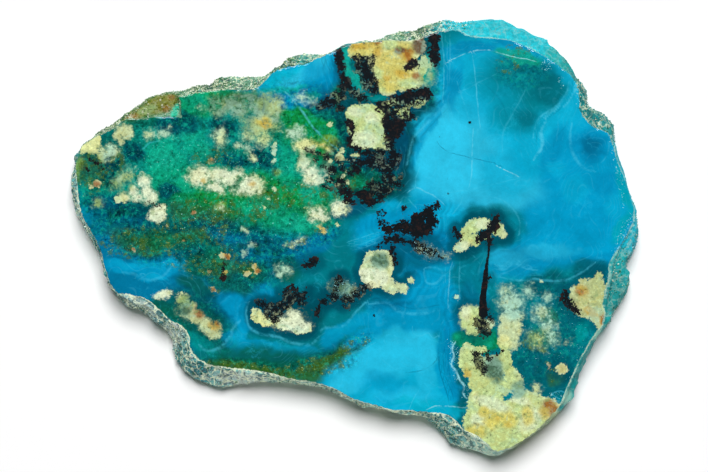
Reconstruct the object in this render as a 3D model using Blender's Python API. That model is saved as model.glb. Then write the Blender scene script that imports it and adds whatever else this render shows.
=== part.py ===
"""A polished slab of chrysocolla in chalcedony: one natural stone, sawn flat at the back and broken round its rim.

Metres, +Z up. The origin is the middle of the slab's length and width, on the surface that its sawn back
rests on. +X runs along the slab's length and +Z points out of the polished face.
"""

import math

import bmesh
import bpy
from mathutils import Vector, noise

MM = 0.001

# Driving dimensions.
THICKNESS = 7.0 * MM
WIDEST_HEIGHT = 2.3 * MM  # the broken wall leans out, down to this height, and then back in
FOOT_INSET = 0.7 * MM
LEAST_STEP = 0.12 * MM  # the polish ends in a small sharp step all round
DEEPEST_STEP = 0.95 * MM
STEP_PER_LEDGE = 0.26  # a wide broken ledge lies deeper than a narrow one

# The slab's outline, clockwise from its left end, seen on the polished face: x and y of the widest line,
# then how far the rough wall leans out under the face, and how wide a broken ledge lies between the two.
OUTLINE_MM = (
    (-57.3, 9.2, 1.2, 0.0),
    (-57.0, 13.0, 0.9, 0.0),
    (-56.2, 16.4, 0.5, 0.0),
    (-54.6, 18.9, 0.3, 0.0),
    (-51.9, 21.1, 0.8, 0.0),
    (-49.3, 22.8, 1.2, 0.0),
    (-46.7, 24.7, 1.2, 0.0),
    (-44.3, 26.1, 1.0, 1.8),
    (-41.7, 27.8, 0.9, 3.2),
    (-38.9, 28.9, 0.8, 4.2),
    (-37.3, 29.2, 0.8, 4.6),
    (-36.2, 29.4, 0.9, 4.6),
    (-35.4, 29.6, 1.3, 0.2),
    (-31.9, 30.9, 1.8, 0.0),
    (-29.3, 31.0, 1.6, 0.0),
    (-27.9, 32.0, 2.4, 0.0),
    (-25.5, 32.7, 2.9, 0.0),
    (-22.9, 32.3, 2.6, 0.0),
    (-20.3, 32.7, 2.7, 0.0),
    (-18.1, 32.8, 1.0, 0.0),
    (-15.9, 33.9, 0.4, 0.0),
    (-14.7, 34.9, 1.0, 0.0),
    (-12.9, 36.6, 2.3, 0.0),
    (-10.3, 37.2, 2.4, 0.0),
    (-7.5, 37.1, 1.0, 0.0),
    (-4.9, 37.4, 0.3, 0.0),
    (-1.9, 39.1, 0.5, 0.0),
    (0.5, 39.4, 0.3, 0.0),
    (4.9, 40.1, 0.6, 0.0),
    (6.9, 41.2, 1.6, 0.0),
    (9.7, 41.8, 2.4, 0.0),
    (12.3, 42.1, 2.4, 0.0),
    (13.9, 43.0, 2.4, 0.0),
    (18.5, 43.9, 2.2, 0.0),
    (20.3, 43.4, 1.6, 0.0),
    (22.3, 43.4, 1.1, 1.6),
    (24.3, 43.6, 0.5, 2.8),
    (26.5, 43.9, 0.3, 3.4),
    (29.1, 43.7, 0.3, 3.4),
    (32.7, 42.4, 0.3, 3.0),
    (36.1, 40.8, 0.4, 2.8),
    (39.1, 38.9, 0.5, 2.4),
    (42.3, 35.8, 0.6, 1.5),
    (44.7, 32.4, 0.8, 0.5),
    (46.2, 30.6, 1.0, 0.8),
    (47.0, 28.6, 1.0, 1.4),
    (47.2, 26.7, 1.0, 1.4),
    (49.1, 25.6, 1.2, 2.0),
    (51.3, 23.9, 1.2, 2.4),
    (52.4, 22.2, 0.9, 1.6),
    (52.4, 20.0, 0.7, 0.5),
    (53.0, 17.2, 0.8, 0.2),
    (54.2, 14.0, 0.8, 0.0),
    (56.0, 7.6, 0.3, 0.0),
    (56.9, 4.2, 0.5, 0.6),
    (57.3, 1.8, 0.6, 1.5),
    (57.1, -1.0, 0.7, 2.3),
    (56.1, -3.4, 0.8, 2.5),
    (55.0, -4.9, 0.8, 2.0),
    (55.0, -6.7, 0.8, 2.6),
    (55.7, -8.8, 0.9, 3.3),
    (54.9, -11.4, 0.9, 3.1),
    (52.9, -14.8, 0.9, 2.0),
    (50.7, -18.3, 0.7, 0.6),
    (48.9, -20.2, 0.8, 0.3),
    (45.9, -27.0, 1.2, 0.0),
    (43.3, -33.0, 1.2, 0.0),
    (41.1, -35.6, 0.9, 0.0),
    (35.5, -40.6, 0.6, 0.0),
    (29.3, -44.1, 1.0, 0.0),
    (26.5, -44.0, 1.8, 0.0),
    (20.7, -42.4, 3.3, 0.0),
    (18.7, -41.4, 3.4, 0.0),
    (17.3, -39.4, 2.6, 0.0),
    (15.5, -37.6, 1.8, 0.0),
    (13.1, -36.4, 1.2, 0.0),
    (6.5, -35.4, 0.8, 0.0),
    (-0.9, -33.6, 1.1, 0.0),
    (-5.7, -31.1, 1.0, 0.0),
    (-12.9, -29.8, 1.2, 0.0),
    (-17.5, -29.5, 1.5, 0.0),
    (-24.5, -30.3, 3.3, 0.0),
    (-28.1, -30.2, 4.1, 0.0),
    (-31.3, -29.2, 3.8, 0.0),
    (-34.1, -27.6, 3.2, 0.0),
    (-35.9, -25.4, 3.3, 0.0),
    (-36.7, -22.8, 3.5, 0.0),
    (-37.1, -20.5, 2.8, 0.0),
    (-41.0, -16.9, 1.9, 0.0),
    (-43.3, -15.1, 1.8, 0.0),
    (-45.2, -14.7, 1.5, 0.0),
    (-47.5, -12.7, 1.1, 0.0),
    (-49.4, -10.2, 0.6, 0.0),
    (-50.4, -6.9, 0.4, 0.0),
    (-51.4, -3.8, 0.6, 0.0),
    (-53.0, -0.8, 0.9, 0.0),
    (-55.1, 2.3, 1.1, 0.0),
    (-56.8, 5.8, 1.2, 0.0),
)

AROUND = 360  # points round each ring of the rim
WALL_RINGS = 6  # from the ledge down to the widest line
UNDER_RINGS = 3  # from the widest line down to the foot
NORMAL_REACH = 5  # rings lean inwards along normals averaged over this many points each side

# Relief of the broken wall: lumps, the flat facets that it broke in, and pits.
LUMP_SIZE = 6.5 * MM
LUMP_HEIGHT = 0.6 * MM
FACET_SIZE = 3.2 * MM
FACET_HEIGHT = 0.75 * MM
FACET_FLATTEN = 1.7  # facets are longer along the rim than they are high
GRAIN_SIZE = 1.7 * MM
GRAIN_HEIGHT = 0.22 * MM
PIT_SIZE = 4.5 * MM
PIT_DEPTH = 0.7 * MM
PIT_SHARE = 0.35  # lumps' noise above this is a pit
RELIEF_SETBACK = 0.32 * MM  # the outline passes through the furthest lumps, so the wall lies this far inside it
CHIP_SIZE = 2.2 * MM
CHIP_DEPTH = 0.16 * MM  # how far the edge of the polish wanders where it chipped
SHELF_HEIGHT = 1.5 * MM  # the wall broke in shelves of about this height
SHELF_RELIEF = 0.13 * MM
SINK_HEIGHT = 0.15 * MM  # how far rings wander up and down
PIT_OFFSET = Vector((0.03, 0.05, 0))  # reads the pits from another stretch of the noise
SINK_OFFSET = Vector((0.07, 0.02, 0))

STONE_COLOUR = (0.01, 0.36, 0.52, 1.0)


def clear_scene():
    for obj in list(bpy.data.objects):
        bpy.data.objects.remove(obj, do_unlink=True)


def smooth_ring(rows, count):
    """Catmull-Rom through closed rows of numbers, read at count even steps along the line that x and y draw."""
    fine = []
    steps = 24
    for i in range(len(rows)):
        before, start, end, after = (rows[(i + k) % len(rows)] for k in (-1, 0, 1, 2))
        for step in range(steps):
            t = step / steps
            fine.append([
                0.5 * (2 * s + (e - b) * t + (2 * b - 5 * s + 4 * e - a) * t * t + (3 * s - b - 3 * e + a) * t ** 3)
                for b, s, e, a in zip(before, start, end, after)
            ])
    run = [0.0]
    for i, row in enumerate(fine):
        following = fine[(i + 1) % len(fine)]
        run.append(run[-1] + math.hypot(following[0] - row[0], following[1] - row[1]))
    ring = []
    at = 0
    for k in range(count):
        wanted = run[-1] * k / count
        while run[at + 1] < wanted:
            at += 1
        share = (wanted - run[at]) / (run[at + 1] - run[at])
        start, end = fine[at], fine[(at + 1) % len(fine)]
        ring.append([s + (e - s) * share for s, e in zip(start, end)])
    return ring


def outward_normals(ring):
    """Unit normals in the plane, averaged along the ring so that rings inside it don't cross themselves."""
    count = len(ring)
    sharp = []
    for i in range(count):
        ahead, behind = ring[(i + 1) % count], ring[i - 1]
        # The outline runs clockwise, so its outside is on the left of the way round.
        sharp.append(Vector((-(ahead[1] - behind[1]), ahead[0] - behind[0], 0)).normalized())
    reach = range(-NORMAL_REACH, NORMAL_REACH + 1)
    return [sum((sharp[(i + k) % count] for k in reach), Vector()).normalized() for i in range(count)]


def lumps(place, size):
    """Smooth noise from about -1 to 1 whose lumps are about size across."""
    return noise.noise(place / size * 2)


def facets(place, size):
    """Tilted planes that meet at sharp creases, as stone breaks: one plane for each cell of a Voronoi noise."""
    spot = Vector((place.x, place.y, place.z * FACET_FLATTEN)) / size
    nearest = noise.voronoi(spot)[1][0]
    tilt = noise.cell_vector(nearest * 7.3 + Vector((0.5, 0.5, 0.5)))
    return tilt.dot(spot - nearest) + 0.35 * tilt.x


def rim_profile(wall, ledge):
    """From the polish's edge to the foot: how far out from the widest line, how high, and how rough each ring is."""
    step = min(DEEPEST_STEP, LEAST_STEP + STEP_PER_LEDGE * ledge)
    ledge_top = THICKNESS - step
    profile = [
        (-wall - ledge, THICKNESS, 0.0),
        (-wall - ledge * 0.93, ledge_top + 0.1 * step, 0.1),
        (-wall - ledge * 0.45, ledge_top, 0.25),
        (-wall + 0.05 * MM, ledge_top - 0.25 * step, 0.3),
    ]
    for k in range(1, WALL_RINGS + 1):
        drop = k / WALL_RINGS
        out = -wall * (1 - drop ** 0.7)
        profile.append((out, ledge_top + (WIDEST_HEIGHT - ledge_top) * drop, 1.0 - 0.65 * drop ** 3))
    for k in range(1, UNDER_RINGS + 1):
        drop = k / UNDER_RINGS
        profile.append((-FOOT_INSET * drop ** 1.6, WIDEST_HEIGHT * (1 - drop), 0.6 * (1 - drop)))
    return profile


def rim_point(base, normal, out, height, rough):
    """A point of the rim, moved by chips, lumps, grains and shelves where the wall is rough."""
    place = Vector((base[0], base[1], 0)) + normal * out
    place.z = height
    chip = CHIP_DEPTH * lumps(place.xy.to_3d() + Vector((0, 0, 0.31)), CHIP_SIZE)
    place += normal * chip
    if rough == 0.0:
        return place
    relief = LUMP_HEIGHT * lumps(place, LUMP_SIZE) + GRAIN_HEIGHT * lumps(place, GRAIN_SIZE)
    relief += FACET_HEIGHT * facets(place, FACET_SIZE)
    relief -= PIT_DEPTH * max(0.0, lumps(place + PIT_OFFSET, PIT_SIZE) - PIT_SHARE)
    shelf = math.sin(2 * math.pi * (height / SHELF_HEIGHT + 0.8 * lumps(place, 4 * LUMP_SIZE)))
    relief += SHELF_RELIEF * shelf - RELIEF_SETBACK
    sink = SINK_HEIGHT * lumps(place + SINK_OFFSET, LUMP_SIZE)
    return place + normal * relief * rough + Vector((0, 0, sink * rough))


def stone_material():
    material = bpy.data.materials.new("polished_chrysocolla")
    material.use_nodes = True
    shader = material.node_tree.nodes["Principled BSDF"]
    shader.inputs["Base Color"].default_value = STONE_COLOUR
    shader.inputs["Roughness"].default_value = 0.15
    shader.inputs["Metallic"].default_value = 0.0
    return material


def make_slab():
    """The stone: a flat polished face and a flat sawn back, joined all round by rings of broken wall."""
    ring = smooth_ring([[value * MM for value in row] for row in OUTLINE_MM], AROUND)
    normals = outward_normals(ring)
    columns = []
    for base, normal in zip(ring, normals):
        wall, ledge = max(base[2], 0.2 * MM), max(base[3], 0.25 * MM)
        columns.append([rim_point(base, normal, *row) for row in rim_profile(wall, ledge)])
    spots = [place for column in columns for place in column]
    middle = Vector([(min(p[axis] for p in spots) + max(p[axis] for p in spots)) / 2 for axis in (0, 1)] + [0])

    bm = bmesh.new()
    grid = [[bm.verts.new(place - middle) for place in column] for column in columns]
    for i, column in enumerate(grid):
        following = grid[(i + 1) % AROUND]
        for k in range(len(column) - 1):
            bm.faces.new((column[k], following[k], following[k + 1], column[k + 1]))
    polished_face = bm.faces.new([column[0] for column in reversed(grid)])
    sawn_back = bm.faces.new([column[-1] for column in grid])
    bmesh.ops.triangulate(bm, faces=[polished_face, sawn_back], ngon_method="BEAUTY")
    bmesh.ops.recalc_face_normals(bm, faces=bm.faces)

    mesh = bpy.data.meshes.new("chrysocolla_slab")
    bm.to_mesh(mesh)
    bm.free()
    mesh.materials.append(stone_material())
    slab = bpy.data.objects.new("chrysocolla_slab", mesh)
    bpy.context.scene.collection.objects.link(slab)
    print("the outline's own zero lies at", [round(-value / MM, 3) for value in middle], "mm")
    return slab


clear_scene()
make_slab()
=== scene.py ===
"""The looks of a polished slab of chrysocolla in chalcedony, on its sawn back under soft studio light."""

import math

import bpy
import numpy as np
from mathutils import Matrix, Vector, noise


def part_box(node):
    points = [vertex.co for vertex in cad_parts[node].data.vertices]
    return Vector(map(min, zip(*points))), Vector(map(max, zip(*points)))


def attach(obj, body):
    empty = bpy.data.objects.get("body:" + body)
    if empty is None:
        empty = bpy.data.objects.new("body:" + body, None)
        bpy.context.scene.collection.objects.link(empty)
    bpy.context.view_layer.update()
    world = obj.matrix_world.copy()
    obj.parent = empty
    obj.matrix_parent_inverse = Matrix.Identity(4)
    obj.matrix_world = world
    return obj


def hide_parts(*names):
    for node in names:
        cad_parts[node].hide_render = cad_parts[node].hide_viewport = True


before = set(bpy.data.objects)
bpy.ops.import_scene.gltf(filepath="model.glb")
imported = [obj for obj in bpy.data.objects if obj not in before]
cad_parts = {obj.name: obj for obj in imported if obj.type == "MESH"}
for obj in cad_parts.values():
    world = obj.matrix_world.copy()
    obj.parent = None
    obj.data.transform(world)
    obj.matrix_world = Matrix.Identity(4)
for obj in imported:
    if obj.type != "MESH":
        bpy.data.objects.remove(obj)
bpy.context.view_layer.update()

bl_info = {
    "name": "Polished Chrysocolla Slab",
    "version": (1, 0, 0),
    "blender": (4, 5, 0),
    "location": "3D View > Sidebar > Chrysocolla",
    "description": "Dresses a slab of chrysocolla with its minerals, its polish and its broken rim",
    "category": "Object",
}

SLAB_NODE = "chrysocolla_slab"
LOWEST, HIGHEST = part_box(SLAB_NODE)
MM = 0.001
THICKNESS = HIGHEST.z

# Where the minerals lie on the polished face, in pixels of the 708 x 472 photograph: 5 pixels are 1 mm.
# An oval is (x, y, half length, half width), with its turn in degrees clockwise behind that if it has one.
# A path is a list of its (x, y) corners.
PIXELS_PER_MM = 5.0
PIXEL_UNDER_ORIGIN = (354.33, 238.29)
FAR = 60.0  # pixels: no field reaches further than this

# Colours of the stone, as screen values of red, green and blue.
TONES = {
    "sky_blue": (44, 196, 232),
    "pale_blue": (44, 182, 214),
    "clear_blue": (10, 170, 206),
    "strong_blue": (2, 150, 194),
    "ring_blue": (2, 132, 176),
    "deep_blue": (2, 104, 140),
    "night_blue": (2, 76, 104),
    "cyan": (2, 176, 196),
    "turquoise": (0, 158, 156),
    "sea_green": (14, 160, 132),
    "teal": (2, 120, 132),
    "deep_teal": (2, 88, 100),
    "dark_teal": (2, 66, 74),
    "emerald": (10, 136, 78),
    "leaf_green": (16, 148, 58),
    "mint": (14, 174, 134),
    "moss": (46, 104, 40),
    "olive": (70, 102, 26),
    "bottle_green": (8, 88, 68),
    "cream": (200, 216, 164),
    "pale_cream": (226, 238, 204),
    "milky": (168, 214, 190),
    "beige": (178, 186, 128),
    "ochre": (200, 160, 48),
    "rust": (148, 78, 24),
    "amber": (120, 122, 32),
    "jade": (28, 186, 152),
    "foam": (76, 204, 232),
    "band_blue": (2, 116, 156),
    "lemon": (214, 200, 92),
    "primrose": (226, 232, 160),
    "celery": (192, 214, 142),
    "cove": (0, 184, 198),
    "ice": (146, 202, 200),
    "blue_shade": (0, 96, 128),
    "bark": (104, 78, 58),
    "lime": (150, 182, 62),
    "lagoon": (0, 132, 132),
    "halo_teal": (0, 72, 88),
    "lichen": (136, 168, 108),
    "grey_green": (70, 106, 84),
    "smoke": (120, 160, 134),
    "ink": (18, 24, 28),
    "umber": (46, 32, 30),
    "vein_white": (160, 232, 240),
    "frost": (92, 158, 154),
    "sugar": (110, 158, 126),
    "chalk": (226, 230, 222),
    "mist": (156, 196, 180),
}

# The chalcedony's own colour, painted in this order: tone, strength, softness, then ovals.
GROUND = (
    # the blue of the upper right
    ("clear_blue", 1.0, 0.3, ((530, 150, 130, 130),)),
    ("strong_blue", 0.9, 0.5, ((590, 200, 60, 80, 10), (560, 240, 60, 40), (480, 190, 60, 40))),
    ("pale_blue", 0.8, 0.6, ((452, 140, 34, 46, 10), (500, 190, 46, 22, 10), (470, 170, 40, 40))),
    ("sky_blue", 0.7, 0.8, (
        (440, 150, 24, 38, 20), (465, 180, 30, 14, 10), (440, 182, 30, 16), (450, 130, 18, 18))),
    ("clear_blue", 0.7, 0.6, ((472, 92, 26, 30), (508, 172, 30, 26))),
    ("strong_blue", 0.75, 0.5, ((430, 122, 5, 34, 34), (416, 152, 4, 24, 14), (575, 215, 50, 30))),
    # green-teal pool near the top
    ("teal", 0.7, 1.0, ((520, 84, 46, 30, 14), (516, 112, 26, 22))),
    ("teal", 0.8, 0.6, ((540, 90, 27, 22, 30), (522, 74, 30, 14, 10))),
    ("deep_teal", 0.5, 0.8, (
        (548, 92, 17, 13, 50), (552, 82, 9, 12, 20), (526, 116, 10, 8), (530, 66, 24, 7, 14))),
    ("sea_green", 0.8, 0.4, ((518, 55, 24, 6, 12), (532, 60, 10, 5, 30))),
    ("ring_blue", 0.75, 0.5, ((470, 47, 28, 6, -8), (520, 44, 26, 5, 14), (452, 78, 9, 30))),
    ("clear_blue", 0.6, 0.6, ((462, 64, 16, 9), (566, 110, 10, 30, 30))),
    # the dark eye and the wavy blues at the right
    ("ring_blue", 0.8, 0.6, ((590, 146, 17, 16),)),
    ("deep_blue", 0.95, 0.9, ((590, 146, 10, 9),)),
    ("ring_blue", 0.5, 0.7, ((606, 184, 16, 10), (552, 148, 10, 26, 30), (600, 116, 20, 8, 40))),
    ("clear_blue", 0.5, 0.7, ((556, 168, 12, 8), (574, 190, 14, 14), (618, 206, 12, 16))),
    ("turquoise", 0.5, 0.7, ((626, 190, 8, 30, -16), (622, 226, 6, 20, 20))),
    # below the blue, towards the lower right
    ("ring_blue", 0.6, 0.6, ((520, 262, 50, 14, 4), (590, 262, 40, 8, -4))),
    ("pale_blue", 0.4, 0.7, ((500, 256, 26, 9, 8), (545, 252, 30, 7))),
    ("teal", 1.0, 0.25, ((560, 330, 74, 62, -30), (482, 372, 24, 40), (530, 300, 46, 22, -6))),
    ("deep_teal", 0.8, 0.5, (
        (545, 372, 36, 24, 20), (548, 284, 24, 12), (592, 268, 20, 8), (528, 366, 16, 20, 20))),
    ("deep_teal", 0.6, 0.6, ((575, 340, 20, 24, -30), (508, 320, 8, 30), (560, 316, 14, 16))),
    ("teal", 0.6, 0.6, ((590, 345, 12, 26, 32), (572, 356, 12, 14))),
    ("turquoise", 0.6, 0.6, ((590, 350, 4, 30, 32), (574, 388, 6, 14, 40), (584, 330, 7, 14, 30))),
    ("moss", 0.5, 0.7, ((540, 338, 14, 10), (556, 378, 9, 7), (548, 318, 10, 8))),
    # the darker stretch in the middle, between the pools
    ("ring_blue", 1.0, 0.3, ((462, 290, 24, 52), (448, 270, 30, 26), (400, 262, 66, 52, -14))),
    ("teal", 0.8, 0.45, (
        (494, 226, 32, 22), (470, 256, 22, 16), (466, 288, 18, 36), (360, 292, 46, 24, -10))),
    ("deep_teal", 0.6, 0.8, (
        (484, 216, 26, 10), (504, 232, 10, 14), (410, 254, 30, 16), (466, 250, 12, 10))),
    ("blue_shade", 0.85, 0.7, ((344, 262, 34, 18, -24), (318, 282, 24, 12, -20))),
    ("halo_teal", 0.6, 0.8, (
        (330, 276, 30, 9, -24), (356, 256, 14, 10, -20), (408, 238, 28, 8), (300, 290, 26, 8))),
    ("deep_blue", 0.6, 0.6, (
        (400, 246, 24, 16), (434, 250, 22, 12), (392, 298, 24, 10, 10), (468, 310, 12, 26))),
    ("strong_blue", 0.85, 0.6, (
        (366, 230, 34, 12, -24), (392, 212, 14, 12), (345, 244, 26, 10, -20), (424, 210, 16, 8, -20))),
    ("clear_blue", 0.5, 0.7, (
        (360, 238, 20, 5, -18), (394, 206, 9, 6), (446, 216, 16, 14), (438, 276, 14, 10))),
    ("strong_blue", 0.8, 0.5, ((430, 292, 26, 20), (440, 300, 20, 12), (448, 336, 6, 30, -4))),
    # the left half: green over blue-teal
    ("teal", 1.0, 0.15, ((170, 210, 120, 118), (250, 250, 110, 90, 20), (130, 150, 80, 80))),
    ("sea_green", 0.55, 0.3, (
        (200, 160, 130, 60), (110, 160, 50, 40), (300, 150, 54, 74, -20), (240, 210, 80, 26, 8))),
    ("bottle_green", 0.6, 0.6, (
        (150, 112, 50, 16, -22), (180, 214, 90, 22, 4), (120, 150, 26, 18), (230, 156, 34, 12),
        (100, 170, 26, 26))),
    ("emerald", 0.85, 0.6, (
        (230, 196, 80, 26, 12), (306, 126, 34, 44, -30), (190, 106, 40, 14, -8), (250, 100, 60, 10, -4),
        (298, 200, 44, 22, 16))),
    ("leaf_green", 0.7, 0.7, (
        (306, 118, 22, 28, -34), (292, 108, 12, 16), (230, 200, 40, 8, 8), (284, 190, 40, 12, 20),
        (326, 142, 12, 16, -30), (204, 92, 30, 5, -4))),
    ("mint", 0.6, 0.8, (
        (166, 160, 24, 22, 20), (158, 176, 16, 12), (196, 144, 14, 16), (262, 208, 26, 9, 10),
        (298, 224, 28, 8, 10), (196, 100, 12, 10), (182, 184, 22, 6, 10), (288, 168, 10, 22),
        (310, 190, 10, 20), (142, 198, 20, 5))),
    ("jade", 0.4, 0.9, (
        (162, 158, 12, 10), (176, 134, 12, 6), (194, 128, 5, 14), (206, 148, 8, 6), (190, 180, 10, 4),
        (296, 222, 16, 5, 10), (312, 186, 8, 8))),
    ("deep_teal", 0.9, 0.6, (
        (180, 124, 22, 9, 8), (172, 114, 14, 8), (224, 127, 14, 9), (134, 152, 12, 11), (169, 190, 9, 7),
        (263, 157, 11, 14), (128, 212, 22, 11), (212, 222, 26, 8, 4), (232, 160, 16, 7))),
    ("halo_teal", 0.75, 0.7, (
        (176, 122, 22, 7, 8), (228, 128, 13, 8), (134, 152, 10, 9), (169, 190, 8, 6), (264, 158, 10, 13),
        (126, 214, 24, 8), (214, 222, 28, 6, 4), (234, 162, 14, 5), (100, 200, 16, 8), (112, 162, 10, 8),
        (252, 232, 20, 5))),
    ("dark_teal", 0.8, 0.7, (
        (186, 118, 12, 6, 8), (228, 128, 9, 7), (264, 158, 8, 11), (134, 150, 7, 7), (118, 214, 14, 7),
        (112, 160, 10, 6), (108, 172, 12, 10))),
    ("moss", 0.6, 0.8, (
        (118, 240, 16, 10, 20), (158, 238, 18, 9), (222, 262, 18, 12), (248, 244, 14, 6, 10),
        (90, 168, 13, 14), (142, 110, 26, 8, -24), (246, 100, 32, 8), (141, 243, 17, 12, 10),
        (190, 236, 18, 7, -6), (194, 212, 40, 8, 6), (336, 148, 8, 7), (266, 200, 14, 8))),
    ("lime", 0.6, 0.8, (
        (75, 170, 5, 10, 10), (79, 162, 6, 6), (332, 142, 9, 4, 20), (278, 171, 4, 4), (221, 206, 5, 4))),
    ("blue_shade", 0.6, 0.7, (
        (92, 220, 16, 12, -30), (104, 240, 12, 12, -30), (230, 240, 36, 10, 10), (240, 262, 32, 12, 10),
        (196, 250, 22, 7, 4), (112, 202, 14, 7))),
    ("strong_blue", 0.4, 0.8, (
        (86, 216, 8, 8, -40), (104, 246, 8, 12, -30), (234, 238, 12, 5), (288, 240, 22, 6, -20))),
    ("deep_blue", 0.6, 0.7, (
        (134, 222, 22, 6), (246, 238, 38, 7, 10), (264, 258, 24, 10), (226, 244, 14, 5),
        (150, 254, 36, 4))),
    ("dark_teal", 0.5, 0.8, (
        (150, 228, 30, 7, 4), (214, 246, 30, 7, 8), (272, 246, 22, 7, 10), (186, 256, 20, 6))),
    # the paler blues of the lower left
    ("band_blue", 0.95, 0.5, (
        (136, 276, 58, 26, 12), (104, 258, 14, 22, -20), (180, 290, 40, 20, 20), (240, 300, 50, 26, 20),
        (300, 254, 40, 12, -30))),
    ("strong_blue", 0.85, 0.45, (
        (140, 267, 32, 8, 3), (166, 266, 11, 9), (118, 265, 9, 7, -10), (152, 277, 14, 5, 4))),
    ("clear_blue", 0.45, 0.8, ((140, 265, 26, 4, 3), (156, 278, 10, 3, 4), (168, 264, 6, 5))),
    ("strong_blue", 0.7, 0.7, (
        (184, 266, 4, 8, -26), (98, 268, 4, 20, -14), (260, 292, 12, 8), (238, 314, 6, 22, -8),
        (232, 306, 16, 8))),
    ("bottle_green", 0.8, 0.7, (
        (141, 244, 22, 12, 8), (206, 266, 24, 14, 6), (230, 284, 26, 10, 10), (188, 242, 26, 8, -6),
        (250, 272, 22, 12), (196, 286, 20, 8, 30), (286, 268, 16, 14))),
    ("moss", 0.45, 0.8, (
        (142, 246, 14, 9, 10), (192, 236, 16, 5, -8), (222, 268, 14, 10), (248, 270, 10, 6),
        (210, 272, 8, 5))),
    ("emerald", 0.35, 0.8, (
        (160, 238, 14, 10), (216, 250, 12, 7), (298, 234, 16, 5, -20), (330, 224, 10, 4))),
    # round the long patch and the black and cream patch of the lower left
    ("bottle_green", 0.9, 0.5, ((196, 318, 37, 19, 42), (168, 312, 20, 10, 40), (300, 318, 24, 16))),
    ("halo_teal", 0.6, 0.6, ((212, 306, 20, 8, 44), (280, 320, 38, 20, 10), (320, 300, 22, 14, -10))),
    ("turquoise", 0.6, 0.6, ((204, 346, 28, 5, 40), (178, 328, 14, 4, 46), (232, 354, 14, 4, 10))),
    ("strong_blue", 0.75, 0.5, (
        (240, 332, 7, 24, 16), (262, 346, 34, 5, 12), (310, 352, 30, 5), (342, 330, 26, 7, -32),
        (232, 340, 10, 8, 30))),
    ("clear_blue", 0.4, 0.8, ((236, 340, 5, 12, 24), (290, 348, 26, 3, 6), (352, 322, 24, 4, -34))),
    ("band_blue", 0.8, 0.6, ((262, 358, 40, 5, 6), (334, 346, 24, 4, -20), (392, 310, 26, 6, 10))),
    # the green band above the bottom edge
    ("bottle_green", 0.8, 0.7, ((262, 362, 62, 16, 4), (318, 362, 40, 14, -10), (354, 344, 26, 10, -30))),
    ("bottle_green", 0.8, 0.5, ((258, 368, 52, 9, 7), (318, 366, 34, 10, -8), (352, 346, 22, 8, -30))),
    ("moss", 0.8, 0.6, (
        (240, 368, 34, 6, 8), (292, 375, 34, 6, 4), (330, 362, 22, 7, -22), (352, 346, 16, 5, -32))),
    ("olive", 0.5, 0.7, (
        (232, 366, 14, 4, 6), (276, 375, 16, 4, 4), (318, 366, 14, 5, -14), (344, 350, 10, 4, -30))),
    # the pale pool at the bottom
    ("strong_blue", 0.9, 0.5, ((402, 320, 44, 12, 2), (366, 334, 24, 9, -30), (430, 322, 16, 14))),
    ("clear_blue", 1.0, 0.3, (
        (386, 386, 64, 38, -6), (400, 352, 40, 22, -6), (420, 396, 36, 30, 10), (350, 384, 30, 18))),
    ("sky_blue", 0.6, 0.6, (
        (392, 358, 42, 18, -8), (352, 378, 24, 12, -20), (420, 350, 18, 20), (372, 366, 40, 12, -10))),
    ("sky_blue", 0.4, 0.7, ((404, 336, 26, 8), (346, 386, 20, 8), (404, 396, 30, 8), (428, 372, 9, 24))),
    ("strong_blue", 0.5, 0.9, ((384, 384, 26, 10, 4), (376, 378, 14, 7), (396, 402, 20, 5, 10))),
    ("strong_blue", 0.8, 0.4, ((444, 360, 7, 34, -2), (452, 384, 7, 18, -10), (452, 338, 8, 18))),
    ("ring_blue", 0.7, 0.5, ((448, 352, 5, 30, -3), (458, 390, 5, 12, -14), (458, 330, 6, 16))),
    ("cyan", 0.5, 0.6, ((450, 412, 18, 6), (416, 404, 26, 6, 6), (452, 422, 12, 6, 20))),
    ("clear_blue", 0.5, 0.6, ((446, 414, 16, 7), (396, 414, 30, 5, 8))),
    # emerald strip and its dark side, lower right
    ("emerald", 0.95, 0.4, ((474, 340, 24, 9), (486, 342, 14, 9))),
    ("mint", 0.5, 0.7, ((462, 340, 8, 6), (482, 340, 3, 8), (488, 338, 3, 8))),
    ("deep_teal", 0.8, 0.5, ((460, 366, 7, 24, -14), (464, 396, 6, 14), (463, 420, 5, 8))),
    # the blue notch at the top
    ("ring_blue", 1.0, 0.2, ((300, 80, 44, 24, -24), (330, 62, 16, 24), (316, 98, 26, 12))),
    ("clear_blue", 0.9, 0.5, ((290, 78, 30, 12, -18), (318, 62, 16, 12, -20), (276, 84, 18, 8, -16))),
    ("cyan", 0.55, 0.7, ((278, 78, 20, 8, -20), (304, 68, 18, 5, -24))),
    ("pale_blue", 0.7, 0.8, ((304, 76, 24, 7, -22), (322, 66, 9, 10))),
    ("strong_blue", 0.7, 0.6, ((318, 78, 16, 16), (334, 66, 6, 18))),
    ("deep_blue", 0.7, 0.6, ((320, 94, 18, 9, -10), (338, 74, 5, 20), (326, 104, 20, 8))),
    ("night_blue", 0.7, 0.6, ((336, 96, 12, 8), (322, 110, 16, 8, 10), (344, 124, 10, 12))),
    ("sea_green", 0.6, 0.6, ((282, 90, 26, 4, -8), (312, 96, 10, 4))),
    # round the black and the yellow patch at the top
    ("dark_teal", 0.95, 0.35, (
        (372, 168, 44, 30, 20), (392, 138, 22, 36), (388, 60, 52, 36), (352, 110, 20, 34),
        (404, 98, 34, 20))),
    ("teal", 0.7, 0.6, ((348, 60, 8, 26, -22), (428, 74, 10, 20), (358, 84, 9, 16, -24), (432, 86, 8, 12))),
    ("jade", 0.8, 0.6, (
        (345, 56, 2.6, 15, -8), (355, 80, 4, 13, -34), (348, 64, 3, 8, -20), (428, 74, 6, 10),
        (430, 60, 4, 6))),
    ("turquoise", 0.55, 0.7, (
        (346, 52, 4, 16, -14), (356, 84, 5, 16, -26), (430, 70, 5, 18), (378, 96, 12, 4))),
    ("night_blue", 0.8, 0.6, (
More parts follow.
